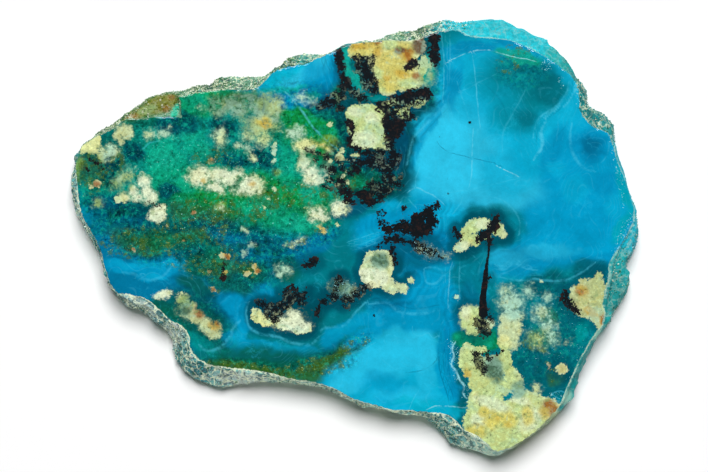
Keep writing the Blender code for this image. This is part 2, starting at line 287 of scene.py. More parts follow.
        (388, 164, 16, 14), (400, 134, 8, 22), (366, 160, 20, 8), (352, 208, 22, 10, -20),
        (408, 100, 20, 10))),
    ("bottle_green", 0.8, 0.6, ((364, 181, 16, 11), (340, 176, 10, 8))),
    ("emerald", 0.5, 0.7, ((360, 182, 10, 7), (336, 96, 4, 10))),
)

# Cream crust, sharp at its edge.
CRUST = (
    (91, 144, 11, 9, -35), (85, 147, 7, 5, -60), (97, 138, 5, 5), (94, 151, 5, 4), (106, 154, 8, 4.5, -40),
    (111, 149, 4, 3), (101, 156, 4, 3), (124, 132, 9, 7, 20), (128, 129, 5, 4), (121, 141, 4, 5),
    (117, 137, 4, 4), (124, 197, 7, 5.5, -10), (118, 199, 4, 4), (133, 191, 5.5, 7), (144, 181, 6, 8, -20),
    (147, 191, 6, 7), (153, 198, 6, 6), (148, 201, 5, 4), (139, 198, 5, 4), (157, 214, 9.5, 8.5),
    (161, 208, 5, 4), (152, 217, 4, 4), (200, 177, 9, 7, 10), (196, 180, 6, 5), (206, 172, 5, 4),
    (220, 174, 11, 4.5, 14), (234, 175, 8, 5, -14), (240, 172, 4, 4), (216, 187, 8, 3.5, 22),
    (251, 184, 8.5, 6.5, 10), (256, 180, 5, 4), (244, 184, 5, 4), (252, 192, 3, 3), (303, 146, 8, 6, 10),
    (298, 144, 5, 5), (310, 148, 6, 4, 10), (303, 162, 6, 6), (311, 172, 7, 7), (318, 180, 7, 4, 20),
    (308, 178, 5, 5), (318, 215, 7, 5.5), (313, 213, 4, 4), (324, 218, 4, 3), (338, 209, 4.5, 6.5, 20),
    (345, 203, 7, 2.6, -22), (337, 215, 4, 3), (239, 146, 6, 2.2, 10), (249, 150, 3, 5, -30),
    (253, 157, 2.4, 5, -30), (274, 149, 2.6, 7), (273, 161, 2.2, 3.4, 20), (220, 137, 3.4, 7.5, 4),
    (164, 133, 4, 2.6), (98, 204, 3, 3), (330, 125, 3, 3), (163, 294.5, 11, 4.4, -14),
    (157, 296.5, 5, 3.6), (169, 292, 4, 3), (183, 299, 6.5, 6.5, 30), (189, 308, 8, 7, 40),
    (197, 317, 10, 7.5, 44), (206, 326, 10, 7.5, 40), (215, 329, 6, 8), (214, 335, 7, 4),
    (257, 316, 6, 7.5), (264, 320, 8, 6, 20), (254, 312, 3, 4), (270, 322, 5, 3.5), (284, 324, 9, 6, 20),
    (295, 321, 10, 9, 10), (292, 313, 6, 4), (304, 329, 7, 4.5, 20), (298, 331, 6, 3.5), (309, 326, 3, 4),
    (284, 270, 4.5, 3.2, -20), (280, 275, 4, 2.6), (245, 230, 4.6, 2.4, 30), (253, 244, 4.4, 1.8, 6),
    (244, 254, 1.8, 3.4, 10), (378, 266, 16, 16), (367, 274, 8, 10), (374, 282, 10, 6, 10),
    (388, 284, 7, 7), (396, 288, 8, 4.5, -20), (403, 288, 5, 5), (411, 280, 3, 3), (383, 256, 11, 6),
    (371, 256, 6, 5), (474, 226, 9, 7, -20), (466, 232, 6, 6), (484, 224, 9, 6), (496, 228, 8, 7),
    (503, 234, 5, 4, 10), (462, 246, 9, 5.5, -24), (474, 240, 7, 7), (468, 240, 8, 6), (486, 236, 6, 5),
    (470, 320, 10, 14), (465, 314, 6, 9), (478, 318, 8, 12), (489, 324, 5, 6), (472, 331, 7, 4),
    (456, 296.5, 3, 2.4), (509, 333, 11, 15), (505, 343, 8, 7), (508, 320, 9, 9), (515, 328, 7, 12),
    (502, 330, 5, 7), (513, 345, 7, 6), (495, 368, 10, 14, -12), (488, 362, 5, 8), (479, 350, 8, 4),
    (467, 352, 7, 9), (468, 364, 8, 14, -14), (470, 352, 8, 8), (476, 364, 9, 14, -10), (480, 378, 11, 12),
    (506, 360, 6, 14, -12), (514, 380, 8, 16, -24), (490, 386, 22, 10, 10), (486, 404, 18, 22),
    (474, 424, 11, 18), (500, 424, 32, 24), (528, 412, 24, 20, 10), (546, 408, 13, 12),
    (536, 424, 18, 14, -30), (506, 440, 30, 12, -6), (484, 436, 18, 14), (524, 396, 10, 7, 20),
    (558, 412, 4, 8, 20), (562, 369, 6, 5.5), (536, 388, 2, 4, 10), (586, 300, 18, 18), (594, 292, 12, 14),
    (598, 280, 4.5, 10, 8), (602, 312, 11, 16, 10), (578, 291, 8, 6), (604, 324, 8, 9), (608, 298, 5, 14),
    (584, 282, 5, 4),
    # yellow patch at the top
    (366, 48, 18, 9, -10), (356, 52, 8, 8), (392, 48, 18, 10), (408, 50, 14, 10), (392, 66, 20, 16),
    (398, 82, 22, 10), (384, 76, 10, 16, -10), (412, 72, 12, 14), (419, 46, 7, 9), (416, 80, 8, 9),
    (376, 60, 8, 10), (388, 90, 10, 5), (424, 64, 5, 10), (366, 126, 19, 22), (356, 112, 9, 7),
    (375, 111, 9, 6), (360, 142, 11, 8), (378, 140, 10, 10), (350, 116, 5, 6), (382, 120, 6, 8),
    (386, 146, 4, 5), (391, 103.5, 8, 4, -10), (404, 113, 8, 4.5, 20), (418, 104, 7, 3.4, -10),
    (410, 104, 3, 2), (397, 110, 3, 2.4), (410, 119, 3, 3), (355, 155, 5, 2.4), (339, 156, 4, 4),
    (330, 160, 3, 3), (342, 150, 3, 3),
)

# Rusty and yellow pebbles: x, y, radius.
PEBBLES = (
    (222, 255, 3.2), (228, 257, 2.4), (225, 272, 2.4), (247, 274, 3.2), (254, 266, 2.4), (257, 271, 2.6),
    (213, 290, 2.4), (210, 271, 2.4), (320, 226, 2.6), (324, 231, 2.6), (194, 212, 2.4), (212, 161, 2.4),
    (97, 184, 4), (91, 187, 3), (337, 224, 2), (268, 198, 2.2), (264, 207, 2.2), (275, 189, 2.2),
    (204, 180, 1.6), (134, 250, 2.2), (166, 226, 1.8), (184, 240, 1.8), (549, 366, 2.2), (416, 76, 4.4),
    (387, 78, 3), (400, 74, 3), (378, 53, 2.6), (344, 176, 2.4), (347, 182, 2.4), (336, 184, 2),
    (372, 196, 1.6), (541, 280, 2), (498, 424, 2), (508, 424, 2.2), (475, 398, 2), (512, 392, 2),
    (488, 429, 2), (467, 374, 3), (586, 294, 2.6), (600, 318, 3),
)

# Milky clouds and moss in the clear stone, with ragged half-clear edges.
CLOUDS = (
    (266, 108, 18, 15, 10), (276, 106, 9, 11), (256, 126, 14, 14), (262, 138, 11, 9, 20),
    (272, 122, 9, 11), (250, 134, 9, 9), (232, 104, 16, 9), (220, 112, 8, 7), (240, 112, 10, 7),
    (214, 100, 6, 4), (244, 96, 16, 5), (122, 179, 13, 7, -36), (130, 173, 6, 6), (205, 109, 6, 3),
    (164, 133, 9, 4.5), (150, 134, 6, 4), (199, 176, 13, 11), (222, 177, 18, 9, 14), (252, 186, 14, 11),
    (216, 188, 12, 5, 20), (236, 190, 8, 5), (296, 133, 10, 7), (306, 146, 11, 8), (318, 144, 10, 4, 16),
    (306, 166, 9, 8), (313, 179, 10, 7), (328, 150, 7, 4, 20), (303, 97, 8, 4), (310, 101, 5, 4),
    (318, 214, 12, 9), (340, 208, 10, 9), (220, 137, 7, 10), (220, 207, 5, 4), (296, 242, 9, 3, -24),
    (283, 271, 8, 6), (99, 204, 6, 5), (108, 153, 12, 7, -30), (150, 106, 20, 7, -22),
    (136, 112, 10, 5, -20), (511, 303, 14, 14), (507, 292, 8, 7), (512, 316, 13, 12), (528, 290, 7, 7),
    (547, 298, 6, 5), (541, 314, 9, 11), (548, 326, 8, 9), (534, 338, 9, 7), (552, 338, 7, 8),
    (540, 347, 8, 4), (536, 392, 4, 8), (568, 342, 3, 2), (340, 288, 11, 10), (350, 292, 8, 7),
    (428, 250, 12, 5, 20), (440, 256, 9, 3, 10), (186, 310, 11, 8, 45), (290, 322, 22, 9, 10),
    (430, 70, 6, 14), (424, 84, 9, 6), (326, 168, 6, 6),
)

# Black mineral.
BLACK = (
    (309, 151, 6, 2.6, 20), (318, 153, 5, 3.6), (327, 157, 5, 4.5), (316, 160, 4, 2.4),
    (323, 166, 5, 3.6, 10), (332, 170, 6, 6), (330, 180, 6, 4), (340, 182, 7, 6), (342, 168, 4, 6),
    (337, 161, 3, 4), (326, 187, 7, 3, 20), (345, 192, 8, 5, 20), (350, 160, 4, 3), (348, 200, 7, 4, 30),
    (352, 128, 4.5, 8), (348, 122, 3.5, 5), (350, 140, 4, 6), (356, 148, 7, 4, 10), (368, 153, 10, 4),
    (380, 152, 8, 5), (390, 142, 6, 14), (388, 124, 6, 10), (396, 128, 8, 12), (392, 112, 9, 7),
    (384, 106, 9, 6), (400, 102, 12, 8), (414, 98, 14, 9), (424, 94, 9, 8), (408, 116, 8, 8),
    (400, 122, 7, 8), (394, 158, 8, 10), (374, 162, 14, 7), (358, 162, 8, 5), (386, 168, 10, 8),
    (388, 178, 8, 8), (376, 186, 10, 6), (366, 194, 12, 5), (384, 190, 9, 6), (396, 184, 8, 4, 10),
    (380, 196, 7, 5), (400, 178, 3, 3), (370, 202, 10, 5), (356, 168, 6, 6), (350, 172, 4, 5),
    (364, 66, 10, 12), (358, 58, 7, 5), (368, 80, 9, 12, -20), (374, 90, 6, 6), (372, 60, 4, 8),
    (376, 86, 4, 8), (434, 40, 6, 9), (430, 34, 10, 2.4, 42), (436, 52, 4, 16), (432, 54, 5, 8),
    (414, 64, 7, 4.5), (409, 68, 5, 3), (339, 54, 4.5, 14), (342, 70, 3.5, 14, -8), (343, 44, 4, 6, 20),
    (348, 84, 5, 9, -30), (354, 92, 5, 7), (362, 98, 7, 5), (338, 96, 8, 7, -30), (330, 102, 9, 7, -20),
    (324, 104, 6, 5), (342, 88, 4, 7), (320, 108, 5, 3), (340, 108, 5, 4), (401, 227, 9, 6),
    (406, 224, 6, 5), (382, 212, 4, 3), (380, 220, 2.8, 7), (384, 226, 4.5, 5, 20), (390, 230, 6, 4.5),
    (398, 228, 6, 4, -20), (403.5, 209, 2.4, 2.4), (408, 230, 9, 6, -30), (418, 222, 11, 9, -40),
    (428, 214, 9, 8, -30), (434, 208, 6, 4, -30), (424, 228, 11, 8), (432, 222, 7, 8), (416, 234, 9, 5),
    (437, 204, 3, 2), (392, 238, 8, 3.6, -16), (386, 242, 6, 3, -20), (400, 240, 9, 3.5, 10),
    (392, 250, 3, 8), (395, 258, 2.6, 6), (396, 264, 2.2, 4), (378, 246, 5, 2, -24), (414, 242, 6, 5, 10),
    (422, 248, 9, 5.5, 24), (432, 252, 8, 4.5, 20), (440, 257, 5, 2.4, 20), (456, 231, 4, 3, 20),
    (459, 236, 5, 3.6), (455, 228, 2, 2), (493, 226, 6, 9, 35), (485, 235, 9, 6, -35), (480, 239, 5, 4),
    (489, 240, 4, 5), (496, 219, 4, 4), (484, 314, 5, 8), (482, 324, 6, 9), (486, 332, 6, 5),
    (490, 318, 4, 4), (477, 320, 3, 4), (488.6, 278, 3, 2), (477, 355, 5, 4, 10), (480, 364, 5, 6),
    (484, 370, 4, 5), (475, 361, 3, 4), (486, 354, 7, 2.4), (497, 352, 6, 2, -8), (488, 358, 3, 4),
    (566, 295, 4.4, 5, -20), (570, 303, 4.6, 7, -26), (576, 311, 4, 5.5, -45), (565, 299, 3.6, 5),
    (311, 263, 7.5, 4.5, -14), (306, 266, 3, 2.6), (262, 304, 7, 4.5), (270, 308, 9, 6, 10),
    (278, 312, 7, 7, 20), (274, 319, 6, 5), (282, 306, 8, 6), (268, 314, 5, 5), (290, 300, 8, 6),
    (286, 293, 5, 6), (296, 296, 6, 5), (301, 302, 6, 5), (294, 288, 4, 4), (304, 296, 3, 7, 20),
    (318, 310, 3, 7, 20), (324, 302, 5, 4.5, -20), (334, 297, 6, 6), (346, 299, 7, 5), (356, 294, 6, 5),
    (364, 288, 6, 5), (340, 280, 5, 5, -30), (337, 288, 4, 6), (352, 301, 5, 3), (344, 306, 4, 2.4, 20),
    (328, 296, 4, 3, -30), (224, 268, 1.8, 5, 6), (223, 277, 1.8, 4, 14), (150, 203, 5, 0.9, 20),
    (155, 206, 4, 0.8, -20), (90, 158, 3, 2), (96, 163, 4, 2, 30), (103, 168, 3, 2), (88, 170, 2.4, 2),
)

# Colour of the crust and the clouds, painted over plain cream in this order: tone, strength, softness, ovals.
CRUST_TINT = (
    ("pale_cream", 0.85, 0.5, (
        (157, 214, 14, 12), (144, 190, 20, 14), (220, 180, 40, 14, 12), (318, 217, 12, 9),
        (338, 209, 8, 10), (312, 176, 16, 14), (162, 294, 16, 9), (296, 322, 16, 12), (370, 278, 20, 10))),
    ("milky", 0.7, 0.5, (
        (106, 153, 12, 8, -40), (164, 133, 12, 7), (205, 109, 8, 6), (242, 147, 14, 5, 10),
        (274, 152, 8, 16), (303, 98, 14, 8), (456, 296, 5, 5), (245, 240, 12, 20), (296, 133, 14, 9),
        (516, 300, 20, 18), (544, 318, 18, 22), (282, 272, 10, 8))),
    ("primrose", 0.85, 0.5, (
        (90, 143, 14, 13), (304, 146, 8, 8), (503, 344, 9, 8), (256, 318, 8, 8), (264, 322, 10, 6))),
    ("celery", 0.9, 0.4, (
        (366, 126, 26, 28), (470, 318, 14, 20), (490, 392, 34, 30), (506, 424, 50, 36), (500, 366, 16, 22),
        (480, 366, 24, 26), (410, 108, 24, 12), (478, 232, 24, 16, -20), (600, 292, 10, 20))),
    ("pale_cream", 0.6, 0.7, (
        (364, 140, 14, 9), (372, 118, 8, 6), (356, 112, 8, 5), (492, 404, 20, 7, 20),
        (520, 400, 12, 5, 20), (478, 420, 8, 8), (530, 420, 10, 14, 30), (484, 224, 10, 5),
        (464, 246, 8, 5), (466, 312, 6, 8))),
    ("lichen", 0.95, 0.5, (
        (262, 112, 30, 24), (230, 104, 30, 18), (184, 304, 10, 10, 30), (540, 342, 18, 13),
        (430, 76, 10, 16), (90, 166, 16, 14), (122, 180, 16, 12, -36), (98, 205, 8, 7),
        (340, 288, 12, 12))),
    ("smoke", 0.9, 0.5, (
        (230, 106, 24, 12), (254, 120, 8, 16), (274, 112, 12, 12), (380, 261, 9, 7), (342, 287, 12, 11),
        (494, 369, 10, 14, -12), (186, 310, 6, 7, 30), (520, 388, 8, 10, 30))),
    ("celery", 0.6, 0.7, (
        (276, 108, 9, 9), (266, 136, 14, 10), (262, 124, 12, 9), (542, 336, 8, 6), (536, 346, 6, 5),
        (126, 176, 8, 7))),
    ("grey_green", 0.9, 0.5, (
        (379, 258, 8, 6), (384, 263, 4, 6), (495, 370, 7, 11, -16), (338, 286, 9, 8), (306, 314, 6, 8),
        (248, 97, 14, 5), (186, 311, 4, 5, 30))),
    ("lemon", 0.8, 0.7, (
        (366, 46, 20, 11, -10), (396, 66, 22, 20), (392, 84, 18, 8), (404, 50, 12, 9),
        (322, 144, 12, 5, 20), (492, 420, 10, 10), (508, 420, 10, 8), (476, 432, 10, 8), (528, 416, 6, 10),
        (264, 122, 8, 5), (484, 412, 6, 6))),
    ("celery", 0.8, 0.7, (
        (390, 44, 8, 6), (378, 74, 6, 6), (408, 84, 10, 5), (424, 66, 6, 8), (380, 90, 6, 4))),
    ("milky", 0.85, 0.5, (
        (513, 300, 17, 20), (530, 290, 10, 8), (546, 312, 14, 16), (548, 298, 8, 6), (552, 338, 8, 8),
        (436, 256, 12, 6, 10))),
    ("beige", 0.7, 0.6, ((212, 328, 11, 8), (592, 300, 26, 26), (122, 136, 6, 7), (196, 318, 8, 6, 40))),
    ("ochre", 0.4, 0.8, ((562, 369, 5, 5), (508, 424, 3, 3), (498, 418, 3, 3), (366, 44, 14, 5, -10))),
    ("ochre", 0.7, 0.8, (
        (358, 46, 7, 4, -10), (378, 52, 5, 5), (401, 74, 7, 3.6, 20), (406, 55, 7, 6), (387, 78, 4, 3),
        (266, 124, 5, 4), (214, 326, 7, 5, 20), (549, 410, 9, 11, 30), (467, 374, 4, 5),
        (582, 290, 7, 5, 30), (592, 312, 8, 4, 30), (604, 320, 5, 6), (247, 274, 6, 6), (255, 268, 6, 6),
        (224, 256, 8, 5), (225, 272, 4, 4), (322, 228, 6, 6), (204, 180, 3, 3), (252, 184, 4, 3))),
    ("rust", 0.8, 0.8, (
        (378, 41, 5, 4), (408, 53, 5, 5), (410, 60, 4, 3), (416, 76, 5, 4), (170, 104, 6, 6),
        (201, 311, 7, 8), (554, 412, 5, 8), (548, 404, 5, 4), (580, 292, 4, 4), (604, 320, 4, 7),
        (216, 324, 4, 4), (213, 290, 4, 4), (210, 271, 4, 4), (194, 212, 4, 4), (212, 161, 4, 4),
        (97, 184, 5, 4), (549, 366, 4, 4), (227, 258, 3, 3), (258, 271, 3, 3), (134, 250, 4, 4),
        (166, 226, 3, 3), (184, 240, 3, 3))),
    ("bark", 0.95, 0.5, ((420, 46, 8, 9), (201, 309, 4, 4), (400, 50, 5, 4))),
)

# How thickly the rusty and olive specks lie: 0 to 1, softness, ovals.
SPECKS = (
    (1.0, 0.7, (
        (86, 170, 14, 24), (126, 244, 24, 14), (160, 240, 26, 16), (94, 180, 14, 12), (102, 160, 20, 18))),
    (0.9, 0.7, (
        (198, 222, 34, 24), (236, 206, 40, 14, 8), (262, 196, 24, 14), (300, 196, 28, 12),
        (216, 158, 22, 8))),
    (1.0, 0.6, ((252, 370, 52, 7, 8), (318, 366, 34, 9, -8), (352, 347, 22, 7, -32))),
    (0.9, 0.7, (
        (206, 268, 22, 12), (226, 258, 14, 12), (250, 270, 12, 9), (212, 290, 8, 6), (322, 228, 9, 7),
        (298, 244, 12, 6))),
    (0.8, 0.6, (
        (508, 64, 12, 10), (520, 50, 14, 5, 10), (540, 342, 18, 10), (336, 186, 20, 12), (346, 172, 12, 8),
        (554, 376, 9, 7), (548, 365, 4, 4))),
    (0.7, 0.7, ((326, 148, 14, 8), (150, 108, 24, 8, -20), (76, 166, 6, 14), (184, 260, 20, 10))),
)

# How strongly the clear stone is mottled.
MOTTLE = (
    (1.0, 0.35, (
        (200, 170, 140, 84), (110, 170, 44, 60), (300, 150, 54, 72, -20), (160, 232, 70, 34, 6),
        (240, 236, 70, 30, 12), (300, 226, 40, 20, 10))),
    (0.9, 0.5, (
        (236, 264, 50, 26, 10), (250, 370, 56, 10, 8), (322, 364, 38, 12, -10), (352, 346, 22, 9, -30),
        (366, 176, 34, 26))),
    (0.55, 0.6, (
        (540, 330, 54, 54), (480, 342, 30, 14), (522, 70, 26, 20), (430, 80, 14, 30),
        (352, 70, 12, 34, -20), (200, 320, 40, 24, 42))),
)

# Where minute white crystals sparkle: their own white, with painted glints.
SPARKLE_GLINTS = (
    (1.0, 0.5, (
        (546, 64, 7, 9), (561, 82, 3.4, 8), (531, 34, 6, 4, 20), (580, 94, 6, 16, -10),
        (600, 118, 12, 12, 40), (621, 254, 9, 48, 16), (604, 306, 6, 20, 10))),
    (0.9, 0.5, ((428, 250, 16, 7, 20), (342, 288, 12, 10), (454, 352, 6, 14, -10))),
    (0.8, 0.5, (
        (453, 362, 4, 26, -10), (466, 392, 5, 12), (556, 397, 10, 6, 10), (588, 350, 5, 40, 32),
        (616, 160, 4, 50, -10), (444, 426, 16, 9, 20))),
    (0.35, 0.6, ((230, 190, 90, 50, 10), (548, 330, 40, 40), (252, 96, 30, 14), (170, 160, 40, 30))),
)

# How deep a dark halo the patches have where they lie in blue stone.
HALOS = (
    (1.0, 0.5, ((282, 318, 48, 30, 10), (484, 236, 40, 34), (340, 290, 40, 24, -10), (386, 274, 30, 24))),
    (0.35, 0.5, ((200, 318, 44, 32, 40), (90, 150, 30, 30), (157, 214, 24, 20))),
    (0.7, 0.6, ((590, 300, 36, 40), (474, 318, 24, 28), (562, 370, 16, 16), (310, 262, 20, 14))),
    (0.5, 0.6, ((384, 272, 34, 26), (430, 250, 26, 16), (540, 320, 34, 34), (486, 280, 10, 30))),
)

# Pale chips along the edge of the polish, which also lend the lip some of its painted highlight.
CHIPS = (
    (1.0, 0.3, (
        (165, 330, 30, 44, 40), (200, 372, 40, 16, 10), (300, 384, 70, 16, 4), (380, 400, 50, 18, 14),
        (440, 420, 30, 18, 20))),
    (0.7, 0.4, (
        (84, 210, 10, 44, -14), (100, 260, 10, 40, -20), (590, 350, 14, 60, 32), (120, 300, 30, 16, 30),
        (490, 44, 70, 14), (620, 260, 20, 60, 10))),
    (0.5, 0.5, ((220, 92, 60, 10, -6), (130, 116, 50, 14, -24))),
)

# Where the polish ends in a chipped lip: pale broken stone, with a painted highlight along the edge.
GLINTING_LIP = (
    (1.0, 0.3, ((166, 334, 60, 30, 45), (300, 392, 140, 26, 8), (446, 428, 40, 24, 20))),
    (0.6, 0.5, ((590, 350, 24, 70, 32), (92, 240, 16, 60, -18))),
    (0.35, 0.5, ((500, 40, 80, 20), (610, 140, 20, 60), (220, 90, 70, 14, -6))),
)

# How many millimetres inside the edge of the polish the breakage reaches, softness, ovals.
BREAKAGE = (
    (1.5, 0.8, ((146, 308, 26, 9, 38), (176, 336, 14, 12, 50), (446, 424, 16, 10, 30))),
    (0.9, 0.8, (
        (190, 364, 16, 14, 40), (250, 374, 30, 6, 8), (610, 280, 8, 30, 10), (470, 440, 20, 8, 20))),
    (0.6, 0.8, ((74, 196, 6, 40, -8), (590, 360, 10, 50, 32), (596, 112, 14, 14, 30), (500, 32, 40, 8))),
)

# Colour of the broken rim, with painted light on its lower wall: tone, strength, softness, ovals.
RIM_TINT = (
    ("lagoon", 1.0, 0.2, ((354, 238, 400, 400),)),
    ("sugar", 0.9, 0.4, (
        (150, 100, 80, 40, -24), (222, 80, 60, 20, -8), (300, 60, 40, 18, -20), (404, 30, 50, 20, -10))),
    ("moss", 0.5, 0.6, (
        (130, 112, 40, 12, -30), (206, 84, 26, 10), (290, 62, 16, 8), (420, 34, 14, 8),
        (96, 128, 16, 10, -40))),
    ("umber", 0.35, 0.7, ((112, 118, 30, 8, -34), (204, 84, 20, 8), (286, 64, 10, 6), (420, 32, 18, 6))),
    ("turquoise", 0.6, 0.6, ((306, 58, 14, 6, -20), (440, 26, 9, 8))),
    ("moss", 0.95, 0.4, ((150, 106, 34, 10, -20),)),
    ("amber", 0.9, 0.6, ((160, 104, 18, 9, -16), (138, 113, 16, 5, -24))),
    ("lichen", 0.7, 0.7, ((148, 109, 9, 4, -20), (142, 112, 5, 3))),
    ("rust", 0.45, 0.8, ((166, 109, 4, 4, 30), (171, 97, 4, 3), (132, 117, 6, 3, -20))),
    ("jade", 0.95, 0.2, ((175, 111, 3.4, 8, 20),)),
    ("cove", 1.0, 0.25, ((490, 34, 62, 18, -2), (545, 48, 22, 16, 40), (460, 26, 20, 12))),
    ("turquoise", 0.8, 0.5, ((562, 62, 20, 18, 40),)),
    ("lagoon", 0.8, 0.4, ((580, 96, 16, 30, -16), (602, 116, 22, 20, 30), (612, 140, 12, 20))),
    ("cyan", 0.9, 0.4, ((628, 190, 14, 56, -10), (626, 250, 18, 40, 10))),
    ("turquoise", 0.8, 0.4, (
        (618, 280, 20, 30, 10), (612, 310, 16, 24), (594, 356, 14, 52, 30), (572, 400, 16, 20, 40))),
    ("lagoon", 0.7, 0.6, ((614, 290, 10, 20, 10), (588, 350, 10, 20, 30), (574, 384, 10, 10, 40))),
    ("beige", 0.7, 0.5, ((520, 446, 50, 14, -14), (552, 428, 20, 18, 50))),
    ("milky", 0.6, 0.7, ((597, 332, 5, 8, 30), (566, 398, 6, 8, 40))),
    # Painted light: the lower and lower-left rim's own whitish grey, made paler still for a wall that faces
    # away from the key light.
    ("mist", 0.95, 0.4, (
        (330, 390, 110, 20, 10), (250, 384, 46, 14, 6), (470, 446, 40, 20), (400, 410, 60, 18, 14))),
    ("ice", 0.8, 0.5, ((80, 214, 10, 40, -12), (112, 296, 20, 16, 40), (440, 436, 14, 14))),
    ("frost", 0.9, 0.5, (
        (176, 350, 24, 40, 20), (446, 432, 22, 16, 30), (150, 322, 30, 26, 30), (210, 380, 28, 14),
        (110, 286, 16, 20, -30))),
    ("chalk", 0.5, 0.7, (
        (170, 336, 12, 18, 30), (140, 308, 20, 8, 30), (80, 214, 8, 34, -10), (240, 380, 26, 8, 6))),
    ("teal", 0.6, 0.6, (
        (160, 346, 8, 30, -10), (186, 374, 24, 7, 30), (140, 314, 16, 6, 40), (196, 372, 10, 6))),
    ("turquoise", 0.6, 0.6, ((92, 250, 8, 40, -20), (72, 200, 6, 30))),
)

# Where the crust fades softly into the clear stone.
SOFT = (
    (1.0, 0.3, (
        (220, 181, 44, 20, 8), (143, 190, 18, 18), (122, 180, 20, 16), (318, 214, 14, 12),
        (307, 172, 14, 20), (303, 144, 14, 14))),
    (0.8, 0.4, (
        (220, 138, 8, 13), (240, 148, 14, 8), (252, 154, 8, 12), (252, 186, 18, 14), (164, 133, 12, 8),
        (283, 272, 12, 10), (245, 240, 14, 22))),
    (0.7, 0.5, ((512, 326, 14, 26), (470, 318, 16, 18), (210, 326, 18, 12, 40))),
    (0.5, 0.5, (
        (157, 214, 16, 14), (340, 208, 12, 12), (162, 294, 16, 10), (124, 134, 14, 14), (104, 152, 12, 10),
        (190, 306, 14, 14), (510, 316, 20, 26), (300, 316, 16, 16))),
)

# Where crumbs of crust and green riddle the black.
CRUMBLY = (
    (0.7, 0.6, (
        (404, 110, 22, 9, 20), (420, 103, 12, 6), (384, 148, 14, 8), (334, 172, 16, 14),
        (350, 158, 12, 5))),
    (0.5, 0.6, ((364, 92, 20, 12, -20), (330, 100, 20, 12, -20))),
    (0.25, 0.6, ((484, 322, 9, 14), (482, 364, 9, 12), (428, 250, 18, 8, 20))),
    (0.45, 0.7, (
        (322, 166, 26, 26), (284, 306, 30, 14), (346, 294, 30, 14), (388, 174, 20, 26),
        (364, 72, 14, 22))),
)

# Where faint bands follow the outlines of the patches.
BANDED = (
    (1.0, 0.5, ((230, 320, 80, 50, 10), (420, 300, 60, 40), (460, 240, 70, 40), (424, 130, 18, 50, 24))),
    (0.7, 0.6, ((330, 76, 16, 36, -10), (560, 270, 70, 18), (380, 240, 60, 30, -20))),
)

# How sugary the broken rim is: 0 to 1, softness, ovals.
SPECKLE = (
    (0.06, 0.2, ((354, 238, 400, 400),)),
    (1.0, 0.3, (
        (96, 122, 40, 26, -34), (222, 80, 46, 24, -8), (300, 58, 44, 20, -20), (400, 30, 50, 20, -10))),
    (0.9, 0.3, (
        (90, 240, 26, 90, -16), (160, 340, 60, 60, 30), (300, 392, 140, 26, 8), (450, 436, 40, 26, 20))),
    (0.5, 0.4, ((592, 104, 20, 30, -30), (520, 446, 60, 20, -12))),
    (0.14, 0.4, ((618, 280, 24, 60, 14),)),
)

